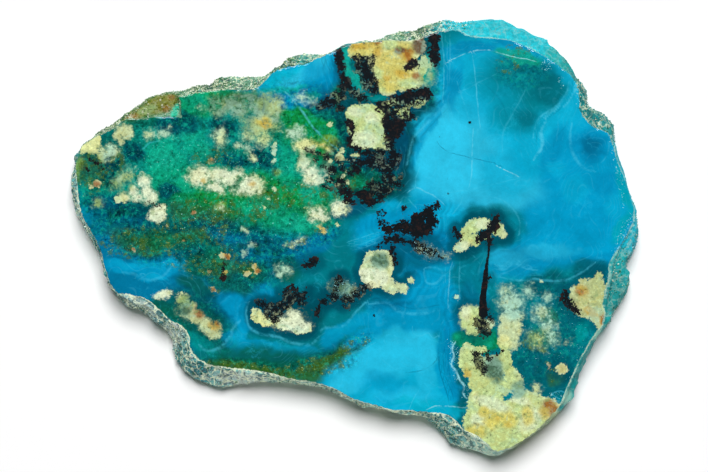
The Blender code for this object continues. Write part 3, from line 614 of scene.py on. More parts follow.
# Thin lines in the stone: how pale (below 0: how dark), half width in pixels, then the corners of each path.
VEINS = (
    (0.95, 0.55, (
        (446, 63), (459, 56), (474, 51), (487, 50), (500, 53), (512, 56.5), (525, 59), (537, 62))),
    (0.6, 0.6, ((472, 52), (475, 75), (477, 99), (479, 118), (480, 128))),
    (0.65, 0.6, ((473, 128), (472, 158), (471, 178), (468, 192))),
    (0.4, 0.6, ((456.5, 81), (464, 103), (469, 119))),
    (0.35, 0.6, ((458, 93), (470, 87), (484, 80), (494, 75), (502, 69))),
    (0.55, 0.7, ((441, 32), (444, 60), (443, 103))),
    (0.25, 1.0, ((450, 34), (450, 60), (449, 86))),
    (-0.7, 0.5, ((437, 141), (441, 147), (449, 152), (468, 157), (492, 162.5), (503, 167))),
    (0.9, 0.5, ((494, 164), (503, 169), (512, 173), (520, 177))),
    (0.6, 1.9, ((577, 66), (577, 84), (566, 103), (549, 115), (541, 130), (542, 146), (533, 160))),
    (0.5, 1.1, ((569, 80), (566, 94), (555, 107), (541, 116), (535, 128), (533, 138))),
    (-0.4, 1.0, ((573, 80), (570, 96), (557, 111), (545, 120), (537, 132), (537, 146))),
    (0.45, 1.5, ((572, 122), (570, 140), (574, 156), (584, 168), (596, 172))),
    (0.25, 0.9, ((608, 136), (608, 152), (600, 164))),
    (-0.35, 1.0, ((566, 126), (556, 138), (553, 148))),
    (0.65, 0.7, ((405, 195), (415, 188), (426, 192), (437, 198), (446, 206))),
    (0.45, 0.6, ((420, 166), (416, 178), (415, 188))),
    (0.55, 0.6, ((402, 193), (408, 199), (417, 209))),
    (0.3, 0.8, ((437, 198), (452, 192), (470, 190), (494, 184), (520, 178))),
    (-0.7, 1.5, ((441, 100), (432, 110), (420, 121), (410, 134), (405, 150), (402, 166))),
    (0.5, 1.4, ((446, 104), (434, 116), (423, 127), (413, 139), (409, 154), (406, 168))),
    (-0.35, 0.8, ((448, 108), (438, 118), (427, 130), (417, 142), (413, 156))),
    (0.85, 0.6, ((636, 208), (632, 225), (624, 244), (618, 259), (613, 277), (609, 296))),
    (0.4, 0.6, ((631, 222), (622, 240), (615, 256), (610, 276))),
    (0.65, 0.6, ((455, 257), (450, 270), (449, 284), (448, 301), (448, 314))),
    (0.4, 0.6, ((445, 318), (441, 326), (439, 338))),
    (0.3, 0.6, ((470, 254), (476, 259), (480, 264))),
    (0.35, 0.7, ((460, 258), (459, 280), (460, 300))),
    (0.45, 1.4, ((369, 304), (388, 303), (397, 311), (412, 314), (428, 313), (440, 310))),
    (-0.45, 1.2, ((366, 300), (386, 298), (397, 304), (414, 309), (440, 305))),
    (0.5, 0.6, ((412, 326), (414, 334), (421, 336), (428, 333), (433, 338), (438, 336))),
    (0.4, 0.5, ((386, 346), (384, 338), (390, 334), (396, 337), (398, 344))),
    (0.45, 1.2, ((424, 268), (436, 268), (443, 274), (436, 283), (426, 282), (424, 268))),
    (0.45, 1.8, ((198, 344), (206, 350), (219, 348), (230, 336), (233, 328), (241, 320))),
    (0.5, 1.5, (
        (250, 301), (246, 312), (249, 326), (258, 333), (278, 337), (293, 343), (309, 345), (317, 339),
        (322, 329), (333, 327), (345, 325), (356, 312), (370, 298))),
    (-0.6, 0.8, (
        (325, 375), (331, 366), (338, 361), (343, 354), (350, 351), (358, 345), (366, 344), (374, 338))),
    (0.35, 0.8, ((328, 378), (335, 367), (342, 362), (352, 354), (366, 348), (376, 342))),
    (-0.6, 0.6, ((405, 373), (415, 372), (423, 370), (433, 364), (437, 359))),
    (-0.6, 0.8, ((440, 326), (440, 340), (438, 356), (440, 372), (445, 388), (449, 402))),
    (-0.5, 0.7, ((445, 326), (445, 342), (443, 358), (445, 374), (450, 388), (454, 400))),
    (-0.5, 0.7, ((450, 328), (449, 344), (448, 360), (450, 376), (455, 388))),
    (0.85, 0.6, ((426, 410), (436, 406), (445, 406), (456, 407), (468, 408))),
    (0.4, 0.5, ((409, 410), (413, 400), (419, 390))),
    (1.0, 1.0, (
        (456, 341), (452, 348), (454, 356), (451, 364), (456, 371), (459, 379), (464, 386), (463, 394),
        (468, 400))),
    (-0.6, 0.6, ((326, 52), (326, 62), (331, 73))),
    (-0.55, 0.6, ((331, 50), (332, 62), (336, 73))),
    (-0.5, 0.6, ((322, 54), (322, 62), (325, 70))),
    (0.6, 1.1, ((284, 91), (298, 106), (312, 126), (326, 140), (340, 151))),
    (0.5, 1.0, ((494, 264), (502, 266), (508, 262), (513, 258), (520, 262), (532, 267))),
    (0.45, 0.9, ((494, 268), (504, 270), (514, 264), (526, 269), (538, 270))),
    (0.45, 1.3, ((500, 277), (520, 281), (534, 279), (556, 281), (576, 276), (596, 262))),
    (-0.35, 1.2, ((500, 284), (520, 287), (540, 284), (560, 286), (578, 282))),
    (-0.5, 1.4, ((108, 258), (116, 257), (128, 261), (145, 263), (162, 260), (174, 256))),
    (0.35, 1.8, ((176, 261), (182, 266), (188, 278))),
    (0.3, 1.6, ((121, 272), (134, 274), (150, 280), (164, 275), (172, 266))),
    (0.45, 0.6, ((345, 243), (360, 238), (378, 232))),
    (0.4, 0.6, ((348, 247), (364, 243), (381, 236))),
    (0.35, 0.6, ((350, 251), (366, 247), (380, 241))),
    (0.4, 0.7, ((404, 196), (398, 206), (396, 216))),
    (0.45, 0.5, ((137.5, 276), (141, 273.6), (145.5, 275), (145, 278.6), (140, 279.4), (137.5, 276))),
    (-0.45, 1.0, ((262, 95), (264, 104), (262, 113))),
    (0.5, 0.7, ((560, 399), (552, 394), (560, 391), (570, 394), (578, 390))),
    (0.7, 0.6, ((176, 90), (178, 104), (178, 117))),
    (0.55, 0.6, ((131, 117), (150, 116), (162, 118), (178, 117.6))),
    (0.35, 0.7, ((142, 150), (150, 143), (160, 141))),
    (0.45, 1.0, ((500, 198), (512, 208), (520, 222), (518, 238))),
    (0.3, 0.8, ((480, 196), (500, 199), (516, 212))),
    (0.3, 0.7, ((463, 196), (459, 206), (452, 214))),
    (0.25, 0.9, ((527, 86), (516, 108), (504, 130), (502, 152))),
    (-0.25, 1.0, ((487, 86), (500, 100), (508, 118))),
)

# Corners of the dark stem that joins two of the patches, with its half width at each.
STEM = (
    (489, 240, 1.6), (489, 250, 1.2), (487.4, 260, 1.4), (486.4, 268, 1.9), (485.6, 276, 2.7),
    (484.6, 286, 2.9), (483, 298, 3.3), (483, 314, 4.5),
)

# Pits and dots: x, y, radius.
DOTS = (
    (470, 122.6, 1.7), (448.6, 193.6, 1.2), (447.6, 178.8, 0.9), (439.7, 136.6, 1.0),
    (403.5, 209, 2.2), (590, 102, 1.8), (374, 315.6, 1.6), (545, 54, 0.9),
)

# Where crystals grow on the rim: how thickly, softness, ovals.
DRUSE = (
    (1.0, 0.3, (
        (130, 108, 70, 30, -24), (222, 80, 60, 24, -8), (300, 60, 30, 16, -20), (420, 28, 50, 16, -8))),
    (0.5, 0.4, (
        (176, 350, 40, 50, 30), (150, 320, 40, 30, 30), (450, 432, 26, 20, 20), (600, 110, 30, 40))),
    (0.25, 0.5, ((624, 260, 30, 60, 10), (300, 390, 120, 20, 8), (84, 200, 20, 60))),
)

WARP_SIZE = 15.0  # pixels across a bend in the outline of a painted zone
WARP_REACH = 5.0  # pixels that such a bend reaches
WARP_SEED = 7
FINE_WARP_SIZE = 8.0  # the same for the colours of the patches
FINE_WARP_REACH = 2.0
VEIN_REACH = 5.0  # pixels from a vein within which its distance is kept
VEIN_TIP = 0.4  # width of a vein near its ends, as a share of that at its middle
PATH_STEPS = 6  # straight runs that each stretch of a path is drawn with
FINER = 3  # how many times smaller the small bends of an outline are than the large ones
FINER_REACH = 0.4  # reach of the small bends, as a share of the large ones'
FINER_LEVEL = 5  # height in the noise at which the small bends are read
NOISE_GAIN = 1.6
CRUST_SLOPE = 3  # pixels from the edge of the crust over which it sinks
BLACK_SLOPE = 2  # the same for the black mineral
EDGE_SLOPE = 0.5  # millimetres from the edge of the polish over which minerals sink
LEAST_WEIGHT = 0.01
WALL_DROP = 0.06  # millimetres under the polish where the wall begins
WALL_FADE = 0.5  # millimetres over which the wall's relief sets in
LEAST_CARVING = 0.15  # share of the relief that the smoothest parts of the wall have
CRAG_SIZE = 1.9 * MM
GRAIN_SIZE = 0.55 * MM
CRUMB_SIZE = 0.9 * MM  # across the bumps in the sunken minerals
TOP_SKIN = 0.05 * MM  # how far under the polish a vertex still counts as on it
EVEN = 0.01 * MM  # how far from the polish a face of it may lie
LEVEL = 0.999  # upward part of the normal of a face that is level
BACK_FACING = -0.98  # the same for a face of the sawn back
BACK_SKIN = 0.1 * MM
WELD = 0.000001  # metres within which two vertices are one
SMOOTH_ANGLE = 40  # degrees between faces that are still shaded as one surface
QUARTZ_IOR = 1.54

# A crystal that is one long.
CRYSTAL_SIDES = 6
CRYSTAL_SLIMNESS = 0.24
SHOULDER_WIDTH = 0.92
SHOULDER_HEIGHT = 0.62

# How the crystals stand on the wall.
DRUSE_MARGIN = 0.15  # millimetres outside the edge of the polish
DRUSE_LOWEST = 0.5 * MM
LEAN = 0.7
LEAN_SPREAD = 0.5
LEAN_UP = 0.25
ANY_TURN = 6.28
LENGTHS = (0.55, 1.35)
WIDTHS = (0.8, 1.5)
SUNK_SHARE = 0.62

# Floor, lights and camera, in metres and degrees.
FLOOR_RADIUS = 6.0
FLOOR_CORNERS = 96
LIGHT_DISTANCE = 4.6
KEY_SIZE = 2.7
KEY_AZIMUTH = 4
KEY_ELEVATION = 60
FRONT_SIZE = 0.4
FRONT_AZIMUTH = 188
FRONT_ELEVATION = 3.2
ROOM_LOW = 0.1  # height on a unit sphere up to which the room is fully bright
ROOM_HIGH = 0.85  # the same for where it is darkest
ROOM_DARK = 0.02
SENSOR_WIDTH = 36
CLIP_END = 20
PHOTO_WIDTH, PHOTO_HEIGHT = 708, 472


def linear(screen):
    """Scene values of a colour given as screen values from 0 to 255."""
    return tuple(((v / 255 + 0.055) / 1.055) ** 2.4 if v > 10 else v / 255 / 12.92 for v in screen)


def tone_property(name, screen):
    words = name.replace("_", " ")
    return bpy.props.FloatVectorProperty(
        name=words.capitalize(), description=f"The {words} of the stone's markings",
        subtype="COLOR", size=3, min=0, max=1, default=linear(screen))


class CHRYSO_Tones(bpy.types.PropertyGroup):
    """Colours that the stone's markings are painted with."""
    __annotations__ = {name: tone_property(name, screen) for name, screen in TONES.items()}


class CHRYSO_Slab(bpy.types.PropertyGroup):
    """Sizes of the slab's fine surface."""
    mesh_size: bpy.props.FloatProperty(
        name="Mesh size", description="Width of the faces on the polished side",
        subtype="DISTANCE", unit="LENGTH", precision=5, default=0.35 * MM)
    back_share: bpy.props.FloatProperty(
        name="Back share", description="Share of the faces that the sawn back keeps",
        subtype="FACTOR", min=0.01, max=1, default=0.1)
    crag_depth: bpy.props.FloatProperty(
        name="Crag depth", description="How deep the broken wall is cut between its crags",
        subtype="DISTANCE", unit="LENGTH", precision=5, default=0.4 * MM)
    grain_depth: bpy.props.FloatProperty(
        name="Grain depth", description="How deep the wall is cut between its grains",
        subtype="DISTANCE", unit="LENGTH", precision=5, default=0.16 * MM)
    pit_depth: bpy.props.FloatProperty(
        name="Pit depth", description="How far the porous minerals lie under the polish",
        subtype="DISTANCE", unit="LENGTH", precision=5, default=0.03 * MM)


class CHRYSO_Druse(bpy.types.PropertyGroup):
    """The crust of small quartz crystals along the rim."""
    crystals: bpy.props.IntProperty(
        name="Crystals", description="How many crystals grow on the rim", min=0, max=12000, default=5200)
    length: bpy.props.FloatProperty(
        name="Length", description="Length of a middling crystal",
        subtype="DISTANCE", unit="LENGTH", precision=5, default=0.62 * MM)
    seed: bpy.props.IntProperty(name="Seed", description="Where each crystal falls", default=7)


class CHRYSO_Studio(bpy.types.PropertyGroup):
    """Floor, light and camera."""
    floor_colour: bpy.props.FloatVectorProperty(
        name="Floor", description="Colour of the floor", subtype="COLOR", size=3, min=0, max=1,
        default=(0.95, 0.95, 0.95))
    key_power: bpy.props.FloatProperty(
        name="Key light", description="Power of the large soft light",
        subtype="POWER", unit="POWER", default=272)
    front_power: bpy.props.FloatProperty(
        name="Front light", description="Power of the low light on the wall in front",
        subtype="POWER", unit="POWER", default=90)
    fill: bpy.props.FloatProperty(
        name="Fill", description="Brightness of the room near the horizon", min=0, default=0.24)
    camera_height: bpy.props.FloatProperty(
        name="Camera height", description="How far above the polish the camera hangs",
        subtype="DISTANCE", unit="LENGTH", default=0.6)


class Socket:
    """A shader socket that takes part in Python's arithmetic: each operation adds its Math node."""

    def __init__(self, finish, socket):
        self.finish = finish
        self.socket = socket

    def math(self, operation, *values):
        return self.finish.add("Math", {"operation": operation}, dict(enumerate(values)))

    def __add__(self, other):
        return self.math("ADD", self, other)

    def __radd__(self, other):
        return self.math("ADD", other, self)

    def __sub__(self, other):
        return self.math("SUBTRACT", self, other)

    def __rsub__(self, other):
        return self.math("SUBTRACT", other, self)

    def __mul__(self, other):
        return self.math("MULTIPLY", self, other)

    def __rmul__(self, other):
        return self.math("MULTIPLY", other, self)

    def __truediv__(self, other):
        return self.math("DIVIDE", self, other)

    def __neg__(self):
        return self.math("MULTIPLY", self, -1)

    def __abs__(self):
        return self.math("ABSOLUTE", self)

    def sine(self):
        return self.math("SINE", self)

    def most(self, other):
        return self.math("MAXIMUM", self, other)

    def rise(self, low, high):
        """0 below low, 1 above high, and a smooth step between them; low may be the larger."""
        ends = {"Value": self, "From Min": low, "From Max": high}
        return self.finish.add("MapRange", {"interpolation_type": "SMOOTHSTEP"}, ends)


class Finish:
    """The nodes of a material or of the room, and the one way in which they are added."""

    def __init__(self, owner, shader="Principled BSDF"):
        owner.use_nodes = True
        self.owner = owner
        self.tree = owner.node_tree
        self.shader = self.tree.nodes[shader]

    def add(self, kind, settings=None, sockets=None, output=0):
        """Adds a node, sets it up, fills or links its sockets, and gives the output asked for."""
        node = self.tree.nodes.new("ShaderNode" + kind)
        for name, value in (settings or {}).items():
            setattr(node, name, value)
        for name, value in (sockets or {}).items():
            self.give(node.inputs[name], value)
        return Socket(self, node.outputs[output])

    def give(self, socket, value):
        if isinstance(value, Socket):
            self.tree.links.new(value.socket, socket)
        else:
            socket.default_value = value

    def dress(self, sockets):
        """Fills or links the shader's own sockets."""
        for name, value in sockets.items():
            self.give(self.shader.inputs[name], value)

    def place(self):
        """Object coordinates in millimetres."""
        metres = self.add("TexCoord", output="Object")
        return self.add("VectorMath", {"operation": "SCALE"}, {0: metres, "Scale": 1 / MM})

    def noise(self, where, size, detail=2.0, rough=0.5, output=0):
        """Smooth noise whose lumps are about size millimetres across: from about -0.5 to 0.5."""
        sockets = {"Vector": where, "Scale": 1 / size, "Detail": detail, "Roughness": rough}
        raw = self.add("TexNoise", None, sockets, output)
        return (raw - 0.5) * NOISE_GAIN if output == 0 else raw

    def wander(self, where, size, reach):
        """The place moved about by noise, so that what is drawn there meanders."""
        drift = self.noise(where, size, output=1)
        centred = self.add("VectorMath", {"operation": "SUBTRACT"}, {0: drift, 1: (0.5, 0.5, 0.5)})
        moved = self.add("VectorMath", {"operation": "SCALE"}, {0: centred, "Scale": reach * 2})
        return self.add("VectorMath", {"operation": "ADD"}, {0: where, 1: moved})

    def cracks(self, where, size):
        """Distance from the nearest crack, where cracks part cells about size millimetres across."""
        sockets = {"Vector": where, "Scale": 1 / size, "Randomness": 1.0}
        return self.add("TexVoronoi", {"feature": "DISTANCE_TO_EDGE"}, sockets)

    def attribute(self, name, output="Fac"):
        return self.add("Attribute", {"attribute_name": name}, None, output)

    def parts(self, name):
        """The three numbers of a vector attribute."""
        split = self.add("SeparateXYZ", None, {0: self.attribute(name, "Vector")})
        return [Socket(self, output) for output in split.socket.node.outputs]

    def mix(self, factor, below, above):
        """One colour over another."""
        return self.add("Mix", {"data_type": "RGBA"}, {0: factor, 6: below, 7: above}, output=2)

    def shade(self, colour, amount):
        """A colour made lighter or darker: times amount."""
        grey = self.add("CombineXYZ", None, {0: amount, 1: amount, 2: amount})
        return self.add("VectorMath", {"operation": "MULTIPLY"}, {0: colour, 1: grey})

    def bump(self, height):
        """A normal from heights in millimetres."""
        return self.add("Bump", None, {"Strength": 1.0, "Distance": MM, "Height": height})


def tone(name):
    """One of the stone's colours, as a node's socket takes it."""
    return (*getattr(bpy.context.scene.chryso_tones, name), 1.0)


def pixels_of(places):
    """Places in metres, as pixels of the photograph."""
    x = PIXEL_UNDER_ORIGIN[0] + places[:, 0] / MM * PIXELS_PER_MM
    y = PIXEL_UNDER_ORIGIN[1] - places[:, 1] / MM * PIXELS_PER_MM
    return np.column_stack((x, y))


def warped(points, size, reach):
    """The points moved about smoothly, in pixels, so that what is painted there gets a natural outline."""
    noise.seed_set(WARP_SEED)
    moved = points.copy()
    for i, (x, y) in enumerate(points):
        drift = noise.noise_vector(Vector((x / size, y / size, 0)))
        finer = noise.noise_vector(Vector((x / size * FINER, y / size * FINER, FINER_LEVEL)))
        moved[i] += (reach * (drift.x + FINER_REACH * finer.x), reach * (drift.y + FINER_REACH * finer.y))
    return moved


def oval_ring(points, oval):
    """How far each point is from the oval's middle, where 1 is the oval, and how deep inside, in pixels."""
    x, y, length, width, *turn = oval
    angle = math.radians(sum(turn))
    dx, dy = points[:, 0] - x, points[:, 1] - y
    along = dx * math.cos(angle) + dy * math.sin(angle)
    across = dy * math.cos(angle) - dx * math.sin(angle)
    ring = np.hypot(along / length, across / width)
    slope = np.hypot(along / length ** 2, across / width ** 2) / np.maximum(ring, 1e-6)
    depth = (1 - ring) / np.maximum(slope, 1 / max(length, width))
    return ring, depth


def union_depth(points, ovals):
    """How deep each point lies inside a union of ovals, in pixels, below 0 outside."""
    depth = np.full(len(points), -FAR)
    for oval in ovals:
        depth = np.maximum(depth, oval_ring(points, oval)[1])
    return depth


def coverage(points, softness, ovals):
    """1 inside a union of ovals and 0 outside, over an edge that is softness of the way in and out."""
    cover = np.zeros(len(points))
    for oval in ovals:
        ring = oval_ring(points, oval)[0]
        share = np.clip((1 + softness * 0.5 - ring) / softness, 0, 1)
        cover = np.maximum(cover, share * share * (3 - 2 * share))
    return cover


def painted(points, base, layers):
    """A colour for each point: base, then each layer of ovals over it in turn."""
    colours = np.tile(np.array(tone(base)[:3]), (len(points), 1))
    for name, strength, softness, ovals in layers:
        cover = (strength * coverage(points, softness, ovals))[:, None]
        colours = colours * (1 - cover) + np.array(tone(name)[:3]) * cover
    return colours


def summed(points, zones):
    """The strongest of some zones at each point."""
    level = np.zeros(len(points))
    for strength, softness, ovals in zones:
        level = np.maximum(level, strength * coverage(points, softness, ovals))
    return level


def smooth_path(corners):
    """Catmull-Rom through the corners of an open path, whatever numbers they hold."""
    rows = np.array(corners, float)
    rows = np.vstack((2 * rows[0] - rows[1], rows, 2 * rows[-1] - rows[-2]))
    path = []
    for before, start, end, after in zip(rows, rows[1:], rows[2:], rows[3:]):
        for t in np.arange(PATH_STEPS) / PATH_STEPS:
            bend = (2 * before - 5 * start + 4 * end - after) * t * t
            twist = (3 * start - before - 3 * end + after) * t ** 3
            path.append(0.5 * (2 * start + (end - before) * t + bend + twist))
    path.append(rows[-2])
    return np.array(path)


def beside(points, path):
    """Signed distance of each point from a path, and how far along it the nearest place is, from 0 to 1."""
    nearest = np.full(len(points), FAR)
    along = np.zeros(len(points))
    for i in range(len(path) - 1):
        run = path[i + 1] - path[i]
        offset = points - path[i]
        share = np.clip(offset @ run / (run @ run), 0, 1)
        gap = offset - share[:, None] * run
        distance = np.hypot(gap[:, 0], gap[:, 1])
        side = np.where(run[0] * offset[:, 1] - run[1] * offset[:, 0] < 0, -1, 1)
        closer = distance < np.abs(nearest)
        nearest = np.where(closer, side * distance, nearest)
        along = np.where(closer, (i + share) / (len(path) - 1), along)
    return nearest, along


def vein_fields(points):
    """For each point near a vein: its signed distance from it, the half width there and the strength."""
    fields = np.zeros((len(points), 3))
    fields[:, 0] = FAR
    for strength, half_width, corners in VEINS:
        path = smooth_path(corners)
        low, high = path.min(0) - VEIN_REACH, path.max(0) + VEIN_REACH
        near = np.flatnonzero(np.all((points > low) & (points < high), axis=1))
        if not len(near):
            continue
        distance, along = beside(points[near], path)
        closer = (np.abs(distance) < VEIN_REACH) & (np.abs(distance) < np.abs(fields[near, 0]))
        ends = (along > 0) & (along < 1)
        taper = np.sqrt(np.clip(4 * along * (1 - along), 0, 1)) * ends
        widths = half_width * (VEIN_TIP + (1 - VEIN_TIP) * taper) * ends
        rows = np.column_stack((distance, widths, np.full(len(near), strength)))
        fields[near[closer]] = rows[closer]
    fields[:, :2] /= PIXELS_PER_MM
    return fields


def stem_depth(points):
    """Depth inside the stem of changing width, in pixels."""
    path = smooth_path(STEM)
    distance, along = beside(points, path[:, :2])
    return np.interp(along, np.linspace(0, 1, len(path)), path[:, 2]) - np.abs(distance)


def dot_depth(points, dots):
    """Depth inside the union of some round dots, in pixels."""
    depth = np.full(len(points), -FAR)
    for x, y, radius in dots:
        depth = np.maximum(depth, radius - np.hypot(points[:, 0] - x, points[:, 1] - y))
    return depth


def polish_edge():
    """Corners of the edge of the polished face, in order, in metres."""
    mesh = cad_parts[SLAB_NODE].data
    rounded = [tuple(round(v / MM, 3) for v in vertex.co) for vertex in mesh.vertices]
    ends = {}
    for face in mesh.polygons:
        if face.normal.z < LEVEL or face.center.z < THICKNESS - EVEN:
            continue
        loop = [rounded[i] for i in face.vertices]
        for a, b in zip(loop, loop[1:] + loop[:1]):
            ends[(a, b)] = True
    onward = {a: b for a, b in ends if (b, a) not in ends}
    start = next(iter(onward))
    ring = [start]
    while onward[ring[-1]] != start:
        ring.append(onward[ring[-1]])
    return np.array(ring)[:, :2] * MM


def polish_depth(places):
    """How far inside the edge of the polish each place lies, in millimetres, below 0 on the rim."""
    ring = polish_edge()
    nearest = np.full(len(places), np.inf)
    inside = np.zeros(len(places), bool)
    flat = places[:, :2]
    for a, b in zip(ring, np.roll(ring, -1, axis=0)):
        run = b - a
        offset = flat - a
        share = np.clip(offset @ run / (run @ run), 0, 1)
        gap = offset - share[:, None] * run
        nearest = np.minimum(nearest, np.hypot(gap[:, 0], gap[:, 1]))
        crosses = (a[1] > flat[:, 1]) != (b[1] > flat[:, 1])
        if a[1] != b[1]:
            inside ^= crosses & (flat[:, 0] < a[0] + run[0] * (flat[:, 1] - a[1]) / run[1])
    depth = np.where(inside, nearest, -nearest) / MM
    drop = (THICKNESS - places[:, 2]) / MM
    return np.where(drop > WALL_DROP, -np.maximum(np.abs(depth), drop), depth)


def vertex_places(mesh):
    """Where the vertices are, in metres."""
    places = np.empty(len(mesh.vertices) * 3)
    mesh.vertices.foreach_get("co", places)
    return places.reshape(-1, 3)


def move_vertices(mesh, places):
    mesh.vertices.foreach_set("co", places.ravel())
    mesh.update()


def write_colours(mesh, name, colours):
    """Stores a colour for each vertex."""
    attribute = mesh.attributes.new(name, "FLOAT_COLOR", "POINT")
    attribute.data.foreach_set("color", np.column_stack((colours, np.ones(len(colours)))).ravel())


def write_fields(mesh):
    """Stores on the mesh what its material reads: painted colours, and distances in millimetres."""
    places = vertex_places(mesh)
    points = pixels_of(places)
    loose = warped(points, WARP_SIZE, WARP_REACH)
    close = warped(points, FINE_WARP_SIZE, FINE_WARP_REACH)
    write_colours(mesh, "ground", painted(loose, "teal", GROUND))
    write_colours(mesh, "crust_tint", painted(close, "cream", CRUST_TINT))
    write_colours(mesh, "rim_tint", painted(points, "frost", RIM_TINT))
    crust = np.maximum(union_depth(points, CRUST), dot_depth(points, PEBBLES))
    minerals = (crust, union_depth(points, CLOUDS), union_depth(points, BLACK))
    dots = np.maximum(stem_depth(points), dot_depth(points, DOTS))
    unbroken = polish_depth(places) - summed(points, BREAKAGE)
    vectors = {
        "minerals": [depth / PIXELS_PER_MM for depth in minerals],
        "extra": [summed(points, CRUMBLY), summed(points, GLINTING_LIP), summed(points, SOFT)],
        "texture": [summed(points, SPECKS), summed(points, MOTTLE), summed(points, SPARKLE_GLINTS)],
        "edges": [unbroken, summed(points, HALOS), summed(points, CHIPS)],
        "veins": list(vein_fields(points).T),
        "rim": [summed(points, SPECKLE), dots / PIXELS_PER_MM, summed(points, BANDED)],
    }
    for name, values in vectors.items():
        attribute = mesh.attributes.new(name, "FLOAT_VECTOR", "POINT")
        attribute.data.foreach_set("vector", np.column_stack(values).ravel())


def deselect():
    if bpy.context.mode != "OBJECT":
        bpy.ops.object.mode_set(mode="OBJECT")
    bpy.ops.object.select_all(action="DESELECT")


def make_active(piece):
    deselect()
    piece.select_set(True)
    bpy.context.view_layer.objects.active = piece


def select_faces(piece, wanted):
    """Leaves the piece in edit mode with only the faces selected that wanted accepts."""
    mesh = piece.data
    for group in (mesh.vertices, mesh.edges, mesh.polygons):
        group.foreach_set("select", np.zeros(len(group), bool))
    picked = [wanted(face) for face in mesh.polygons]
    mesh.polygons.foreach_set("select", picked)
    bpy.ops.object.mode_set(mode="EDIT")
    bpy.ops.mesh.select_mode(type="FACE")
    return sum(picked)


def wall_weights(piece):
    """A vertex group that holds the broken wall: 0 on the polish and the back, 1 half a millimetre away."""
    places = vertex_places(piece.data)
    depth = -polish_depth(places)
    weight = np.clip(depth / WALL_FADE, 0, 1) * np.clip(places[:, 2] / MM / WALL_FADE, 0, 1)
    weight *= np.clip(LEAST_CARVING + summed(pixels_of(places), SPECKLE), 0, 1)
    group = piece.vertex_groups.new(name="wall")
    for i in np.flatnonzero(weight > LEAST_WEIGHT):
        group.add([int(i)], float(weight[i]), "REPLACE")
    return group


def carve(piece, group, kind, size, depth, settings):
    """Cuts the wall with one of Blender's textures, inwards and never outwards."""
    texture = bpy.data.textures.new(f"{kind.lower()}_{size / MM:.1f}", kind)
    texture.noise_scale = size
    for name, value in settings.items():
        setattr(texture, name, value)
    displace = piece.modifiers.new("carve", "DISPLACE")
    displace.texture = texture
    displace.texture_coords = "LOCAL"
    displace.vertex_group = group.name
    displace.mid_level = 1.0
    displace.strength = depth
    bpy.ops.object.modifier_apply(modifier=displace.name)


def keep_in_box(mesh):
    """Holds every vertex inside the solid's own box."""
    move_vertices(mesh, np.clip(vertex_places(mesh), np.array(LOWEST), np.array(HIGHEST)))


def sink_minerals(mesh, depth):
    """Lets the porous crust and the black mineral lie a little under the polish."""
    places = vertex_places(mesh)
    top = np.flatnonzero(places[:, 2] > THICKNESS - TOP_SKIN)
    points = pixels_of(places[top])
    crust = np.clip(union_depth(points, CRUST) / CRUST_SLOPE, 0, 1)
    black = np.clip(union_depth(points, BLACK) / BLACK_SLOPE, 0, 1)
    polish = np.clip(polish_depth(places[top]) / EDGE_SLOPE, 0, 1)
    rough = np.array([noise.noise(Vector(place) / CRUMB_SIZE) for place in places[top]])
    sink = np.maximum(0.5 * crust, black) * (0.5 + 0.5 * rough)
    places[top, 2] = THICKNESS - depth * np.clip(sink, 0, 1) * polish
    move_vertices(mesh, places)


def on_back(face):
    """Whether a face is part of the flat sawn back."""
    return face.normal.z < BACK_FACING and face.center.z < BACK_SKIN


class CHRYSO_OT_slab(bpy.types.Operator):
    """Make the slab's fine surface from its solid and give it its minerals."""
    bl_idname = "chryso.slab"
    bl_label = "Slab"

    def execute(self, context):
        sizes = context.scene.chryso_slab
        slab = bpy.data.objects.new("polished_slab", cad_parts[SLAB_NODE].data.copy())
        context.scene.collection.objects.link(slab)
        make_active(slab)
        bpy.ops.object.mode_set(mode="EDIT")
        bpy.ops.mesh.select_all(action="SELECT")
        bpy.ops.mesh.remove_doubles(threshold=WELD)
        bpy.ops.object.mode_set(mode="OBJECT")
        remesh = slab.modifiers.new("fine surface", "REMESH")
        remesh.mode = "VOXEL"
        remesh.voxel_size = sizes.mesh_size
        bpy.ops.object.modifier_apply(modifier=remesh.name)

        if not select_faces(slab, on_back):
            raise RuntimeError("the sawn back has no faces")
        bpy.ops.mesh.decimate(ratio=sizes.back_share)
        bpy.ops.object.mode_set(mode="OBJECT")

        wall = wall_weights(slab)
        crags = {"distance_metric": "DISTANCE", "noise_intensity": 1.0}
        carve(slab, wall, "VORONOI", CRAG_SIZE, sizes.crag_depth, crags)
        carve(slab, wall, "CLOUDS", GRAIN_SIZE, sizes.grain_depth, {"noise_depth": 2})
        slab.vertex_groups.clear()
        sink_minerals(slab.data, sizes.pit_depth)
        keep_in_box(slab.data)
        write_fields(slab.data)
        bpy.ops.object.shade_smooth_by_angle(angle=math.radians(SMOOTH_ANGLE))

        slab.data.materials.clear()
        slab.data.materials.append(stone_finish())
        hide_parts(SLAB_NODE)
        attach(slab, "root")
        return {"FINISHED"}


class Grain:
    """The noises that the whole stone shares, from lumps of some millimetres down to crumbs of a quarter."""

    def __init__(self, finish):
        self.place = finish.place()
        self.broad = finish.noise(finish.wander(self.place, 9.0, 3.0), 6.0, 4.0)
        self.lumps = finish.noise(finish.wander(self.place, 2.6, 1.4), 3.0, 5.0, 0.62)
        self.coarse = finish.noise(self.place, 1.5, 4.0, 0.62)
        self.fine = finish.noise(self.place, 0.55, 3.0, 0.65)
        self.crumbs = finish.noise(self.place, 0.26, 2.0, 0.6)


